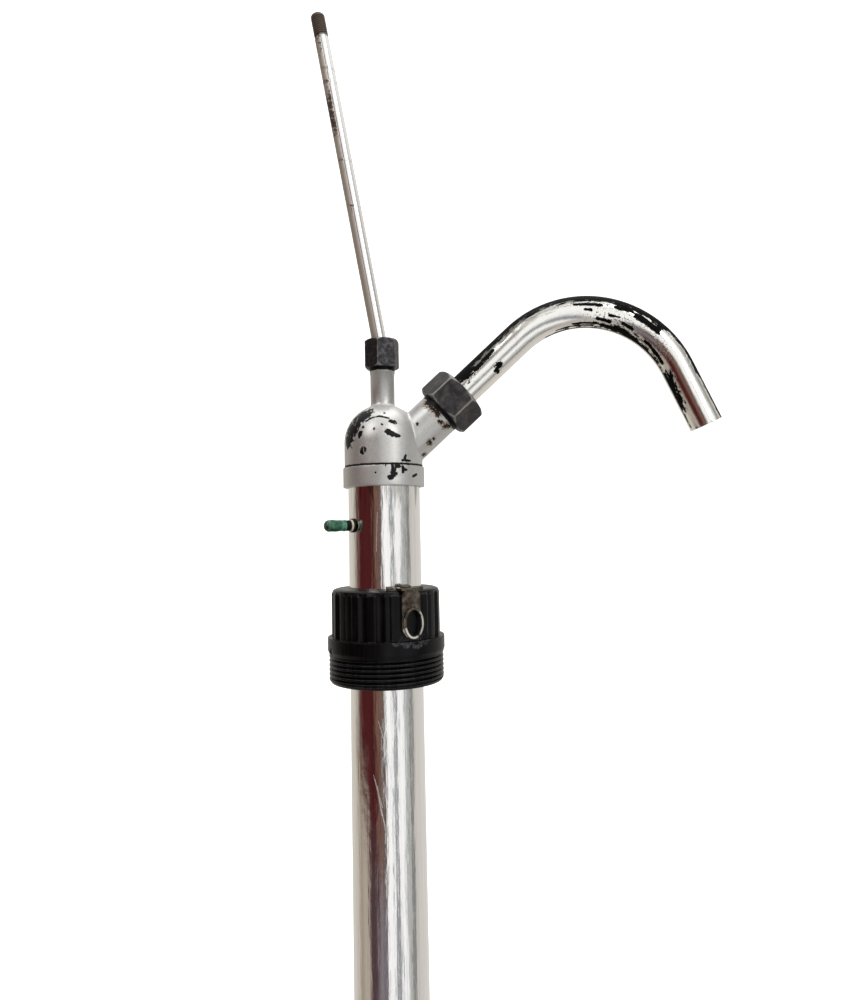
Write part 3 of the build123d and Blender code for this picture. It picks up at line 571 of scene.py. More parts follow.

# --- Head casting, collar and the gasket in their seam
# Zinc casting sprayed silver over black primer. The silver has chipped on the dome, near the seam
# and along the branch, where brown rust shows too, and black is painted along the seam and at the
# mouths of the two nuts as shade. The gasket is a black fibre line.


# Where the silver is gone, in mm: from, to, half width
BARE = [
    ((-6.4, -11.9, 125.6), (-9, -12.6, 123.2), 2.2), ((-9, -12.8, 123), (-13, -12.4, 119.5), 4.8),
    ((-13, -12.6, 120), (-15.6, -12.4, 114.5), 5.2), ((-15.8, -12.2, 114), (-17.2, -11.4, 109.8), 4.0),
    ((-16.8, -12, 109.8), (-18, -10.4, 107.2), 1.8), ((-11.4, -15.6, 117), (-12.2, -15.4, 113.8), 1.1),
    ((-7.8, -16.6, 119), (-5.4, -16.8, 120.4), 0.62), ((-5.4, -16.8, 120.4), (-0.5, -17, 121.6), 0.62),
    ((-0.5, -17, 121.6), (3.9, -17.4, 120.3), 0.6), ((5.0, -17.8, 118.7), (7.2, -17.7, 118.2), 1.2),
    ((3.2, -20.2, 113.1), (6, -19.8, 111.8), 1.5), ((6, -19.8, 111.8), (9.0, -18.8, 110.7), 1.1),
    ((-9.8, -18.4, 103.4), (-9.3, -18.7, 104.1), 1.65), ((-11.2, -17.4, 111.2), (-10.6, -17.4, 113), 1.2),
    ((-9.3, -17.4, 115.9), (-9.3, -17.4, 116.1), 0.8), ((-3.4, -19.9, 114.5), (-3.4, -19.9, 114.7), 0.75),
    ((0.6, -19.5, 116.7), (0.6, -19.5, 116.8), 0.7), ((1.7, -15.5, 123.2), (1.7, -15.5, 123.3), 0.6),
    ((11.8, -17.2, 98.6), (12.3, -16.9, 100.6), 0.9), ((10.6, -18, 98.4), (14.5, -15, 98.2), 0.6),
    ((6.4, -20.7, 95.6), (6.0, -20.7, 92.4), 1.5), ((6.2, -20.7, 95.2), (9, -19.7, 95.2), 1.0),
    ((10.8, -18.7, 95), (10.9, -18.7, 92.2), 0.8), ((10.9, -18.7, 93.5), (12.6, -17.6, 93.4), 0.6),
    ((6.6, -20.5, 91.4), (4.6, -21, 89.6), 1.5), ((16.0, -14.5, 90.2), (17.6, -12.6, 91.3), 0.75),
    ((-3, -21.4, 92), (-3, -21.4, 92.1), 0.5), ((2.2, -21.5, 96), (2.2, -21.5, 95.4), 0.4),
    ((13.7, 15.7, 118), (15.5, 12.5, 116.5), 1.6), ((-6, 19.9, 104), (-2, 20.7, 103), 1.5),
    ((-14, 15.8, 93), (-10, 19.1, 94.5), 1.2), ((3, 21, 90), (5, 20.9, 93), 1.0)]
RUST = [
    ((23.8, -9.8, 129.4), (27.0, -11, 129.0), 2.3), ((25.4, -10.6, 127.6), (27.6, -11.2, 124.8), 1.7),
    ((28.4, -12, 126), (29.4, -12, 122.6), 1.6), ((31.4, -10.6, 124.2), (33.4, -9.8, 124.4), 1.3),
    ((33.0, -8.7, 117.2), (36.0, -7.6, 116.8), 1.6), ((37.6, -5.8, 117.2), (38.8, -5.1, 118.2), 1.4),
    ((34.6, -9.4, 121), (35.8, -8.8, 120.2), 0.9), ((30.0, -11.1, 119), (31.2, -10.8, 118.2), 1.0),
    ((24.4, -8.7, 108.8), (25.2, -8.3, 107.4), 1.3), ((26.8, -8.8, 110.4), (27.2, -8.6, 109.6), 0.8),
    ((21.4, -5.3, 102.8), (22.4, -4.8, 101.8), 1.3), ((18.6, -11.7, 117.8), (18.7, -11.7, 118.2), 0.8),
    ((32.2, 9.8, 122), (35, 8.2, 119), 1.4)]

# Silver spray with a fine sparkle, over black primer
paint, tree, surface, spot = new_material("silver_spray_over_primer", IOR=1.5)
in_mm = millimetres(tree, spot)
flake = noise(tree, spot, 1000 / 0.55, 2.0)
ragged = noise(tree, spot, 1000 / 1.6, 5.0, Roughness=0.6)
cast = noise(tree, spot, 1000 / 9, 4.0)
jag = fit(tree, ragged, 0.25, 0.75, -0.5, 0.5)
chip_far = calc(tree, "ADD", strokes(tree, in_mm, BARE), jag)
chips_and_shade = fit(tree, chip_far, 0.92, 1.06, 1.0, 0.0)
# Thin grey scrapes through the bare patches, and a black band painted along the seam as shade
scrape_way = stretch(tree, spot, (1.0, 1.0, 0.15), (0.5, 0.7, 0.0))
scrape = noise(tree, scrape_way, 1000 / 1.1, 4.0)
kept = fit(tree, scrape, 0.62, 0.67, 1.0, 0.5)
chips_and_shade = calc(tree, "MULTIPLY", chips_and_shade, kept)
high = split(tree, in_mm)
SEAM_Z = 96.5
from_seam = calc(tree, "SUBTRACT", high["Z"], SEAM_Z)
from_seam = calc(tree, "ABSOLUTE", from_seam)
seam_far = calc(tree, "MULTIPLY_ADD", jag, 0.5, from_seam)
seam_shade = fit(tree, seam_far, 0.45, 0.75, 1.0, 0.0)
off_axis = calc(tree, "LESS_THAN", high["X"], 22.0)
seam_shade = calc(tree, "MULTIPLY", seam_shade, off_axis)
chips_and_shade = calc(tree, "MAXIMUM", chips_and_shade, seam_shade)
# Black rings painted as shade at the mouths of the two nuts: the way along the neck or branch, from and to
NUT_MOUTH_SHADE = [((0, 0, 1), 147.9, 151.0), ((0.737, 0, 0.676), 105.8, 108.8)]
nut_mouth_shade = None
for line, start, end in NUT_MOUTH_SHADE:
    run = add(tree, "ShaderNodeVectorMath", {0: in_mm, 1: line}, out="Value", operation="DOT_PRODUCT")
    run = calc(tree, "MULTIPLY_ADD", jag, 0.5, run)
    rise = fit(tree, run, start, start + 0.5)
    fall = fit(tree, run, end, end + 0.5, 1.0, 0.0)
    ring = calc(tree, "MULTIPLY", rise, fall)
    nut_mouth_shade = ring if nut_mouth_shade is None else calc(tree, "MAXIMUM", nut_mouth_shade, ring)
chips_and_shade = calc(tree, "MAXIMUM", chips_and_shade, nut_mouth_shade)
crumbs = noise(tree, spot, 1000 / 1.0, 6.0, Roughness=0.7)
crumbled = fit(tree, crumbs, 0.3, 0.7, 1.1, -1.1)
rust_far = calc(tree, "ADD", strokes(tree, in_mm, RUST), crumbled)
rusted = fit(tree, rust_far, 0.8, 1.4, 1.0, 0.0)
rust_core = fit(tree, rust_far, 0.5, 0.85, 1.0, 0.0)
silver = mix(tree, cast, "8b8983", "aaa9a5")
glint = mix(tree, flake, silver, "d3d3d1")
stained = mix(tree, rusted, glint, "6b5138")
cored = mix(tree, rust_core, stained, "1d1510")
# Black primer in the chips, and the same black painted as shade along the seam and at the nut mouths
shade = mix(tree, chips_and_shade, cored, "0a0a0b")
plug(tree, surface, Base_Color=shade)
bare_and_shaded = calc(tree, "MAXIMUM", chips_and_shade, rusted)
metal = fit(tree, bare_and_shaded, 0.0, 1.0, 0.62, 0.0)
plug(tree, surface, Metallic=metal)
matt = fit(tree, bare_and_shaded, 0.0, 1.0, 0.5, 0.12)
plug(tree, surface, Specular_IOR_Level=matt)
gloss = fit(tree, flake, 0.3, 0.7, 0.34, 0.44)
plug(tree, surface, Roughness=gloss)
paint_film_and_left_reflection = calc(tree, "MULTIPLY", bare_and_shaded, -1.6)
orange_peel = calc(tree, "MULTIPLY", flake, 0.25)
relief = calc(tree, "ADD", paint_film_and_left_reflection, orange_peel)
emboss(tree, surface, relief, 0.5, 0.0001)

head = softened("head_casting_painted", "head_casting", 0)
dress(head, paint, "head_paint", "pump", "head_casting")
COLLAR_R = 21.65
collar_low, collar_high = (c.z * 1000 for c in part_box("tube_collar"))
collar = turned("tube_collar_painted", rounded([
    (BORE_R, collar_low), (COLLAR_R, collar_low), (COLLAR_R, collar_high),
    (BORE_R, collar_high)], 0.6, 1.0), 160)
dress(collar, paint, "head_paint", "pump", "tube_collar")

# Black fibre, slightly fluffy
fibre, tree, surface, spot = new_material("black_gasket_fibre", Roughness=0.8)
fluff = noise(tree, spot, 1000 / 0.8, 6.0)
shade = mix(tree, fluff, "0c0c0c", "232322")
plug(tree, surface, Base_Color=shade)
finish_node("head_gasket", fibre)

# --- Gland nut
# Small hexagon nut, blackened, rubbed to grey steel on its edges and chamfers. Its mouth flares
# so that the bent rod clears it.


def hexagon(across_flats, face_at, chamfer, low, high, crisp):
    """Wall function for turned(): outer rows become a hexagon with its ends chamfered to a cone."""
    half = across_flats / 2

    def wall(around, out, up):
        turn = (np.degrees(around) - face_at + 30) % 60 - 30
        flat = half / np.cos(np.radians(turn))
        cone = half * 1.01 + np.minimum(up - low, high - up) * 1.55 + chamfer * 0.1
        corner = half * 1.145
        limit = -np.log(np.exp(-flat * crisp) + np.exp(-cone * crisp) + np.exp(-corner * crisp)) / crisp
        outer = ease(out, half * 0.90, half * 0.99)
        return out * (1 - outer) + np.minimum(limit, out + 9) * outer, up
    return wall


def nut_outline(outer, low, high, bore, step):
    """Outline of a nut: outer wall at the flats' half width, then its bore as (radius, height) corners."""
    return rounded([(outer, low), (outer, high)] + bore, 0.25, step)


GLAND_AF = 16.9
gland_low, gland_high = (c.z * 1000 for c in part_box("gland_nut"))
gland_nut = turned("gland_nut_blackened", nut_outline(GLAND_AF / 2, gland_low, gland_high, [
    (5.95, gland_high), (4.35, gland_low + 6.2), (4.35, gland_low + 4.65), (6.85, gland_low + 4.65),
    (6.85, gland_low)], 0.3), 240, hexagon(GLAND_AF, -71.0, 1.0, gland_low, gland_high, 6.0))
mark_wear(gland_nut, 1.1, 3)

# Black oxide, mottled, rubbed through to grey steel on the edges
blackened, tree, surface, spot = new_material("blackened_steel_rubbed", Metallic=0.6)
wear = stored(tree, "wear", "Fac")
mottle = noise(tree, spot, 1000 / 2.4, 7.0, Roughness=0.62)
pits = noise(tree, spot, 1000 / 0.6, 4.0)
rub = calc(tree, "MULTIPLY", wear, mottle)
rubbed = fit(tree, rub, 0.14, 0.42)
oxide = ramp(tree, mottle, [(0.3, "121113"), (0.5, "242325"), (0.62, "3a393c"), (0.75, "4c4a4b")])
shade = mix(tree, rubbed, oxide, "86837f")
plug(tree, surface, Base_Color=shade)
gloss = fit(tree, mottle, 0.3, 0.7, 0.55, 0.34)
plug(tree, surface, Roughness=gloss)
emboss(tree, surface, pits, 0.4, 0.00015)
dress(gland_nut, blackened, "gland_nut_black", "gland_nut", "gland_nut")

# --- Pump rod
# Bright 8 mm steel rod, bent where it leaves the gland. Rust specks and dirt cling to its left
# side, where a beige tone is painted in as a reflection, and the M8 thread at its tip, bare now
# that the handle is gone, is dark with old grease.
ROD_R, ROD_LEAN, ROD_BEND_Z, ROD_REACH = 3.98, radians(9.7), 157.9, 200.0
ROD_THREAD, ROD_PITCH = 13.0, 1.25
BEND_R = 30.0
rod_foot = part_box("pump_rod")[0].z * 1000 + 0.02
rod_length = ROD_BEND_Z - rod_foot + ROD_REACH


def rod_wall(around, out, up):
    """Cuts the thread at the tip and the short neck under it."""
    tip = up - (rod_foot + rod_length - ROD_THREAD)
    phase = (up / ROD_PITCH - around / (2 * pi)) % 1
    valley = np.clip(1 - np.abs(phase - 0.5) / 0.42, 0, 1)
    threaded = (out > 2.5) * ease(tip, -0.2, 0.3) * (1 - ease(tip, ROD_THREAD - 2.0, ROD_THREAD - 0.9))
    neck = (out > 3.5) * ease(tip, -1.3, -1.0) * (1 - ease(tip, -0.4, 0.0))
    return out - 0.62 * valley * threaded - 0.6 * neck, up


def rod_line(points):
    """Bends the upright rod over at the gland, on a small arc."""
    half = BEND_R * np.tan(ROD_LEAN / 2)
    rise = points[:, 2] - (ROD_BEND_Z - half)
    arc = np.clip(rise / BEND_R, 0, ROD_LEAN)
    past = np.maximum(rise - BEND_R * ROD_LEAN, 0)
    before = np.minimum(rise, 0)
    x = -BEND_R * (1 - np.cos(arc)) - past * np.sin(ROD_LEAN)
    z = ROD_BEND_Z - half + before + BEND_R * np.sin(arc) + past * np.cos(ROD_LEAN)
    return np.stack([x + points[:, 0] * np.cos(arc), points[:, 1], z + points[:, 0] * np.sin(arc)], -1)


rod_top = rod_foot + rod_length
TIP_ROUND = 1.5
rod_rows = [*np.linspace(rod_foot + 3, ROD_BEND_Z - 6, 12), *np.linspace(ROD_BEND_Z - 3, ROD_BEND_Z + 3, 13),
            *np.linspace(ROD_BEND_Z + 6, rod_top - ROD_THREAD - 3, 20),
            *np.arange(rod_top - ROD_THREAD - 1.6, rod_top - 1.4, 0.12)]
tip_round = [(ROD_R - TIP_ROUND + TIP_ROUND * cos(t), rod_top - TIP_ROUND + TIP_ROUND * sin(t))
             for t in np.linspace(0.1, pi / 2, 8)]
rod = turned("bright_pump_rod", [
    (0.0, rod_foot), (ROD_R - 0.5, rod_foot), (ROD_R, rod_foot + 0.5)] + [(ROD_R, z) for z in rod_rows]
    + tip_round + [(0.0, rod_top)], 72, rod_wall, rod_line)

# Specks by height above the bend and by angle round the rod
rod_steel, tree, surface, spot = new_material("bright_rod_steel")
skin = split(tree, stored(tree, "skin", "Vector"))
side = calc(tree, "ABSOLUTE", skin["X"])
left_side = fit(tree, side, 1.6, 1.85, interpolation_type="SMOOTHSTEP")
rise = calc(tree, "SUBTRACT", skin["Z"], ROD_BEND_Z)
dirty = ramp(tree, fit(tree, rise, 0.0, ROD_REACH), [
    (0.0, "101010"), (0.36, "202020"), (0.42, "b0b0b0"), (0.46, "606060"), (0.54, "a0a0a0"), (0.6, "707070"),
    (0.66, "f0f0f0"), (0.74, "e0e0e0"), (0.79, "909090"), (0.85, "707070"), (0.93, "e8e8e8")])
speckle = noise(tree, spot, 1000 / 1.7, 6.0, Roughness=0.7)
amount = calc(tree, "MULTIPLY", left_side, dirty)
level = calc(tree, "MULTIPLY_ADD", amount, 0.38, -0.68)
speck = calc(tree, "ADD", speckle, level)
specks = fit(tree, speck, 0.04, 0.10)
RINGS = [(165.7, 1.3), (157.4, 1.5), (110.9, 0.9), (84.0, 0.9)]  # height above the bend, half width
rings = None
tilt = calc(tree, "COSINE", skin["X"])
tilted = calc(tree, "MULTIPLY_ADD", tilt, 1.2, rise)
for ring_at, half in RINGS:
    off = calc(tree, "SUBTRACT", tilted, ring_at)
    gap = calc(tree, "ABSOLUTE", off)
    band = fit(tree, gap, half * 0.4, half, 1.0, 0.0)
    rings = band if rings is None else calc(tree, "MAXIMUM", rings, band)
break_up = fit(tree, speckle, 0.42, 0.58)
ring_side = fit(tree, side, 0.9, 1.7, 0.2, 1.0)
ringed = calc(tree, "MULTIPLY", rings, break_up)
ringed = calc(tree, "MULTIPLY", ringed, ring_side)
grease = fit(tree, rise, ROD_REACH - ROD_THREAD - 2.5, ROD_REACH - ROD_THREAD + 0.3)
spots = calc(tree, "MAXIMUM", specks, ringed)
fouled = calc(tree, "MAXIMUM", spots, grease)
# A beige tone painted on the rod's left side as a reflection; it also dulls the metal there
paint_film_and_left_reflection = calc(tree, "MULTIPLY", left_side, 0.9)
tone = mix(tree, paint_film_and_left_reflection, "efeeec", "978c7e")
crust = mix(tree, speckle, "1c1512", "4a382c")
crest = fit(tree, skin["Y"], ROD_R - 0.4, ROD_R, 0.0, 0.8)
crest = calc(tree, "MULTIPLY", crest, grease)
crust = mix(tree, crest, crust, "6b5d50")
shade = mix(tree, fouled, tone, crust)
plug(tree, surface, Base_Color=shade)
dim = calc(tree, "MAXIMUM", fouled, paint_film_and_left_reflection)
plug(tree, surface, Metallic=fit(tree, dim, 0.0, 1.0, 1.0, 0.25))
plug(tree, surface, Roughness=fit(tree, dim, 0.0, 1.0, 0.12, 0.5))
emboss(tree, surface, fouled, 0.35, 0.0002)
dress(rod, rod_steel, "rod_steel", "rod", "pump_rod")

# --- Works inside: gland packing and follower, piston and foot valve, strainer
# Turned brass and plain steel, out of sight in the tube, with the strainer at its foot.


def waves_in(tree, point, scale, distortion, direction):
    inputs = {"Vector": point, "Scale": scale, "Distortion": distortion}
    return add(tree, "ShaderNodeTexWave", inputs, out="Fac", bands_direction=direction)


# Brass with fine tool marks, tarnished brown in places
brass, tree, surface, spot = new_material("turned_brass", Metallic=1.0)
tool_marks = waves_in(tree, spot, 1000 / 1.4, 0.4, "Z")
tarnish = noise(tree, spot, 1000 / 7, 5.0)
shade = mix(tree, tarnish, "8c6f3a", "d3b26a")
plug(tree, surface, Base_Color=shade)
gloss = fit(tree, tarnish, 0.3, 0.7, 0.42, 0.26)
plug(tree, surface, Roughness=gloss)
emboss(tree, surface, tool_marks, 0.1, 0.00005)

# Steel with a thin dull zinc plating
plain_steel, tree, surface, spot = new_material("plain_plated_steel", Metallic=1.0)
dull = noise(tree, spot, 1000 / 6, 6.0)
grain = noise(tree, spot, 1000 / 0.5, 2.0)
shade = mix(tree, dull, "8e8c88", "c4c2bf")
plug(tree, surface, Base_Color=shade)
gloss = fit(tree, dull, 0.3, 0.7, 0.45, 0.28)
plug(tree, surface, Roughness=gloss)
emboss(tree, surface, grain, 0.12, 0.00008)

# Greased cotton braid wound round the rod
braid, tree, surface, spot = new_material("braided_packing", Roughness=0.85)
strands = waves_in(tree, spot, 1000 / 2.2, 2.5, "DIAGONAL")
shade = mix(tree, strands, "6e6450", "b9ad93")
plug(tree, surface, Base_Color=shade)
finish_node("gland_packing", braid)
for name in ("gland_follower", "piston_body", "spout_ferrule"):
    finish_node(name, brass)
for name in ("valve_stop", "piston_nuts", "foot_ball", "ball_cage_pin"):
    finish_node(name, plain_steel)
for node, finish, slot in (("foot_valve_body", brass, "brass"), ("strainer", plain_steel, "plain_steel")):
    piece = softened(node + "_turned", node, 0.25)
    dress(piece, finish, slot, "pump", node)

# --- Peg on the tube
# Threaded stud through the tube wall: black lock ring, ivory washer, black collar, and a dipped
# green vinyl sleeve, glossy, a little lumpy and darker towards its tip.
PEG_ANGLE, PEG_Z = radians(55), 65.6
peg_out = Vector((-sin(PEG_ANGLE), -cos(PEG_ANGLE), 0))
peg_frame = np.array([(cos(PEG_ANGLE), -sin(PEG_ANGLE), 0), (0, 0, 1), tuple(peg_out)])


def on_peg(points):
    """Stands a turned piece on the peg's axis: its height runs outwards from the pump's axis."""
    return points @ peg_frame + np.array([0, 0, PEG_Z])


SLEEVE_R, SLEEVE_START, SLEEVE_END = 3.08, TUBE_R + 5.0, TUBE_R + 16.43


def lumpy(around, out, up):
    """Uneven thickness of the dipped vinyl."""
    swell = 0.10 * np.sin(0.55 * up + 2 * around) + 0.07 * np.sin(1.3 * up - around) - 0.12
    body = (out > 2.6) * ease(up, SLEEVE_START, SLEEVE_START + 1)
    return out + swell * body * (1 - ease(up, SLEEVE_END - 3, SLEEVE_END - 1)), up


SLEEVE_BORE, SLEEVE_BLIND = 2.05, SLEEVE_END - 1.9
mouth = [(SLEEVE_BORE, SLEEVE_START), (SLEEVE_R - 0.4, SLEEVE_START), (SLEEVE_R - 0.1, SLEEVE_START + 0.1)]
side = [(SLEEVE_R, up) for up in np.linspace(SLEEVE_START + 0.4, SLEEVE_END - 3, 28)]
tip = [(SLEEVE_R - 2.3 + 2.3 * cos(t), SLEEVE_END - 2.6 + 2.6 * sin(t)) for t in np.linspace(0, pi / 2, 12)]
inside = [(0, SLEEVE_END), (0, SLEEVE_BLIND), (SLEEVE_BORE, SLEEVE_BLIND)]
sleeve = turned("green_vinyl_sleeve", mouth + side + tip + inside, 64, lumpy, on_peg)

# Glossy green vinyl with paler smears, darker towards its tip
vinyl, tree, surface, spot = new_material("dipped_green_vinyl", IOR=1.53, Roughness=0.28)
out_mm = split(tree, stored(tree, "skin", "Vector"))["Z"]
smear = noise(tree, spot, 1000 / 3.5, 6.0, Distortion=0.8)
pale = fit(tree, smear, 0.42, 0.72)
green = mix(tree, pale, "0f4a30", "4b8a6c")
toward_tip = fit(tree, out_mm, SLEEVE_END - 5.5, SLEEVE_END - 0.5)
dark = fit(tree, smear, 0.3, 0.6, 1.0, 0.35)
tip_darkening = calc(tree, "MULTIPLY", toward_tip, dark)
shade = mix(tree, tip_darkening, green, "0a150e")
plug(tree, surface, Base_Color=shade)
emboss(tree, surface, smear, 0.4, 0.0004)
dress(sleeve, vinyl, "peg_vinyl", "pump", "peg_sleeve")

# Yellowed nylon, darker in the pores
ivory, tree, surface, spot = new_material("ivory_nylon", Roughness=0.45, IOR=1.53)
aged = noise(tree, spot, 1000 / 2, 5.0)
plug(tree, surface, Base_Color=mix(tree, aged, "a39a82", "ddd8c8"))
for name, node, near, far, radius, finish, slot in (
        ("peg_lock_ring_black", "peg_lock_ring", 0.22, 0.98, 3.63, nylon, "peg_black"),
        ("peg_collar_black", "peg_collar", 2.22, 4.93, 2.78, nylon, "peg_black"),
        ("peg_washer_ivory", "peg_washer", 1.07, 2.13, 3.08, ivory, "peg_ivory")):
    ring = turned(name, rounded([
        (SLEEVE_BORE, TUBE_R + near), (radius, TUBE_R + near), (radius, TUBE_R + far),
        (SLEEVE_BORE, TUBE_R + far)], 0.2, 0.4), 64, None, on_peg)
    if finish is nylon:
        mark_wear(ring, 0.5, 1)
    dress(ring, finish, slot, "pump", node)
finish_node("peg_stud", plain_steel)

# --- Spout
# Bent steel tube, plated under old black paint. The paint hangs on along the outside and the
# inside of the bend, thin and smeared on the straight, and is worn off where hands and hoses go.
BRANCH_ANGLE, BRANCH_Z = radians(42.5), 97.0
SPOUT_R, SPOUT_BORE_R = 8.73, 7.5
SPOUT_ROOT, SPOUT_STRAIGHT, SPOUT_BEND_R = 51.45, 100.6, 54.0
SPOUT_BEND, SPOUT_TAIL = radians(108.5), 34.2
SPOUT_END = SPOUT_STRAIGHT + SPOUT_BEND_R * SPOUT_BEND + SPOUT_TAIL - 0.02


def on_branch(points):
    """Lays a turned piece along the branch's axis and then round the spout's bend, angle 0 outermost."""
    run = points[:, 2]
    arc = np.clip((run - SPOUT_STRAIGHT) / SPOUT_BEND_R, 0, SPOUT_BEND)
    tail = np.maximum(run - SPOUT_STRAIGHT - SPOUT_BEND_R * SPOUT_BEND, 0)
    short = np.minimum(run, SPOUT_STRAIGHT) - SPOUT_STRAIGHT
    heading = BRANCH_ANGLE - arc
    centre_x = SPOUT_STRAIGHT * cos(BRANCH_ANGLE) + SPOUT_BEND_R * sin(BRANCH_ANGLE)
    centre_z = BRANCH_Z + SPOUT_STRAIGHT * sin(BRANCH_ANGLE) - SPOUT_BEND_R * cos(BRANCH_ANGLE)
    x = centre_x - (SPOUT_BEND_R + points[:, 0]) * np.sin(heading)
    z = centre_z + (SPOUT_BEND_R + points[:, 0]) * np.cos(heading)
    x += tail * np.cos(heading) + short * cos(BRANCH_ANGLE)
    z += tail * np.sin(heading) + short * sin(BRANCH_ANGLE)
    return np.stack([x, -points[:, 1], z], -1)


spout = turned("plated_spout", rounded([
    (SPOUT_BORE_R, SPOUT_ROOT), (SPOUT_R, SPOUT_ROOT), (SPOUT_R, SPOUT_END),
    (SPOUT_BORE_R, SPOUT_END)], 0.25, 1.6), 96, None, on_branch)

# Old paint in the tube's own skin: x along it, y round it from the outside of the bend, in mm
THICK_PAINT = [
    ((55, 5, 0), (66, 6.5, 0), 6.0), ((66, 4, 0), (102.1, 3.6, 0), 4.2),
    ((70, 10.5, 0), (84, 9.4, 0), 1.3), ((102.1, 4, 0), (132.1, 4.6, 0), 4.2),
    ((127.8, 5.2, 0), (157.8, 6.6, 0), 4.6), ((157.8, 6.8, 0), (181.4, 7.4, 0), 4.2),
    ((167.5, 12.2, 0), (180.4, 12.8, 0), 2.0), ((134.3, 11.6, 0), (148.2, 12.2, 0), 1.0),
    ((181.4, 5.6, 0), (210.7, 5.4, 0), 3.0), ((210.7, 5.2, 0), (236.1, 4.8, 0), 2.3),
    ((79.2, 18.7, 0), (81.6, 18.2, 0), 2.2), ((78.6, 20.4, 0), (79.6, 19.2, 0), 1.2),
    ((115, 26.6, 0), (157.8, 27.4, 0), 1.6), ((121.4, 23.8, 0), (145, 24.2, 0), 0.7),
    ((132.1, 22.2, 0), (147.1, 22.4, 0), 0.8), ((147.1, 19.6, 0), (154.6, 20.4, 0), 1.2),
    ((150.3, 23.4, 0), (158.9, 24.2, 0), 1.5), ((160, 23.6, 0), (172.9, 25.2, 0), 3.1),
    ((162.1, 18.8, 0), (168.6, 19.6, 0), 1.1), ((171.8, 26.6, 0), (194.3, 27.6, 0), 3.2),
    ((179.3, 21.6, 0), (196.4, 22.8, 0), 1.1), ((194.3, 28, 0), (207.8, 28.4, 0), 2.7),
    ((205.8, 25.2, 0), (222.4, 26.4, 0), 4.6), ((219.5, 28, 0), (233.2, 28.6, 0), 3.0),
    ((139.6, 14.6, 0), (142.8, 14.9, 0), 0.8), ((153.6, 16.8, 0), (158.9, 16.4, 0), 0.7),
    ((155.7, 11.6, 0), (164.3, 11.2, 0), 1.2)]
# Bright plating, with what is left of a thick black paint, its flecks and a smoky film
old_paint, tree, surface, spot = new_material(
    "plating_under_old_black_paint", IOR=1.2, Specular_IOR_Level=0.2)
skin = split(tree, stored(tree, "skin", "Vector"))
round_mm = calc(tree, "MULTIPLY", skin["X"], SPOUT_R)
flat = add(tree, "ShaderNodeCombineXYZ", {0: skin["Z"], 1: round_mm})
outer = calc(tree, "GREATER_THAN", skin["Y"], (SPOUT_R + SPOUT_BORE_R) / 2)
long_way = stretch(tree, flat, (0.35, 1.0, 1.0))
ragged = noise(tree, long_way, 0.55, 7.0, Roughness=0.68)
fleck = noise(tree, flat, 0.9, 6.0, Roughness=0.7)
jag = fit(tree, ragged, 0.3, 0.7, -0.75, 0.75)
far = calc(tree, "ADD", strokes(tree, flat, THICK_PAINT), jag)
thick = fit(tree, far, 0.85, 1.05, 1.0, 0.0)
# A smoky film, rubbed into streaks, over the outer side of the straight and the bend
streak_way = stretch(tree, flat, (0.12, 1.0, 1.0))
streak = noise(tree, streak_way, 0.8, 7.0, Roughness=0.65)
mottle = calc(tree, "ADD", streak, ragged)
film_edge = fit(tree, skin["Z"], 131.0, 201.0, 12.5, 8.0)
film_depth = calc(tree, "SUBTRACT", film_edge, round_mm)
film_side = fit(tree, film_depth, -3.0, 5.0, -0.35, 0.4)
back = fit(tree, round_mm, -9.0, -5.0)
film_sum = calc(tree, "ADD", film_side, mottle)
film_torn = fit(tree, film_sum, 0.98, 1.32)
thin_film = calc(tree, "MULTIPLY", film_torn, back)
fleck_run = fit(tree, skin["Z"], 113.0, 147.0)
fleck_end = fit(tree, skin["Z"], 224.0, 190.0)
fleck_side = fit(tree, round_mm, 8.0, 23.0, 0.6, 1.15)
fleck_rate = calc(tree, "MULTIPLY", fleck_run, fleck_end)
fleck_rate = calc(tree, "MULTIPLY", fleck_rate, fleck_side)
fleck_cut = calc(tree, "MULTIPLY_ADD", fleck_rate, 0.25, -0.8)
fleck_up = calc(tree, "ADD", fleck, fleck_cut)
flecks = fit(tree, fleck_up, 0.0, 0.03)
solid = calc(tree, "MAXIMUM", thick, flecks)
solid = calc(tree, "MULTIPLY", solid, outer)
faint = calc(tree, "MULTIPLY", thin_film, outer)
bright = mix(tree, ragged, "dedcd6", "f0eeea")
faint_part = calc(tree, "MULTIPLY", faint, 0.88)
smeared = mix(tree, faint_part, bright, "3a342e")
shade = mix(tree, solid, smeared, "070908")
plug(tree, surface, Base_Color=shade)
metal = fit(tree, solid, 0.0, 1.0, 1.0, 0.0)
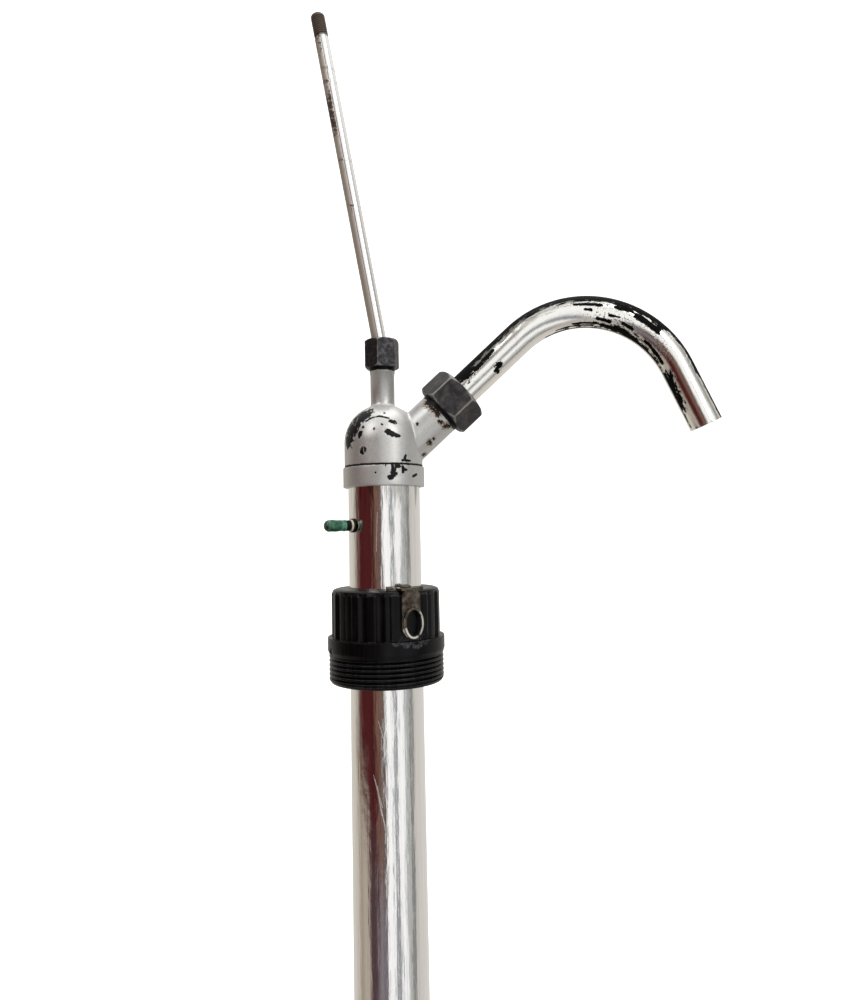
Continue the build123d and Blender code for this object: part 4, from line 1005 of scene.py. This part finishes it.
plug(tree, surface, Metallic=metal)
dulled = fit(tree, faint, 0.0, 1.0, 0.11, 0.5)
rough = blend(tree, solid, dulled, 0.6)
plug(tree, surface, Roughness=rough)
lift = calc(tree, "ADD", solid, ragged)
emboss(tree, surface, lift, 0.35, 0.00022)
dress(spout, old_paint, "spout_chrome", "spout", "spout_tube")

# --- Spout nut
# Big union nut that draws the spout's ferrule against the branch: charcoal cast iron, its edges
# knocked grey, with brown dust on the faces.
UNION_AF, UNION_START, UNION_END, UNION_SHOULDER = 28.9, 42.6, 58.6, 54.4
UNION_HOLE_R, UNION_BORE_R = 9.05, 12.06
union_nut = turned("spout_union_nut", nut_outline(UNION_AF / 2, UNION_START + 0.02, UNION_END - 0.02, [
    (UNION_HOLE_R, UNION_END - 0.02), (UNION_HOLE_R, UNION_SHOULDER), (UNION_BORE_R, UNION_SHOULDER),
    (UNION_BORE_R, UNION_START + 0.02)], 0.36), 300,
    hexagon(UNION_AF, 90.0, 1.3, UNION_START, UNION_END, 4.0), on_branch)
mark_wear(union_nut, 1.3, 3)

# Charcoal skin of the casting with brown dust, its edges knocked grey
iron, tree, surface, spot = new_material("worn_charcoal_iron", Metallic=0.3, Specular_IOR_Level=0.3)
wear = stored(tree, "wear", "Fac")
dust = noise(tree, spot, 1000 / 5, 8.0, Roughness=0.65)
pits = noise(tree, spot, 1000 / 0.7, 4.0)
rub = calc(tree, "MULTIPLY", wear, dust)
rubbed = fit(tree, rub, 0.1, 0.36)
skin_tone = ramp(tree, dust, [
    (0.3, "141315"), (0.45, "29282a"), (0.55, "3b393a"), (0.64, "4d463f"), (0.76, "67543f")])
shade = mix(tree, rubbed, skin_tone, "8f8c87")
plug(tree, surface, Base_Color=shade)
gloss = fit(tree, dust, 0.3, 0.7, 0.42, 0.62)
plug(tree, surface, Roughness=gloss)
relief = calc(tree, "ADD", pits, dust)
emboss(tree, surface, relief, 0.4, 0.0002)
dress(union_nut, iron, "spout_nut_iron", "spout_nut", "spout_nut")
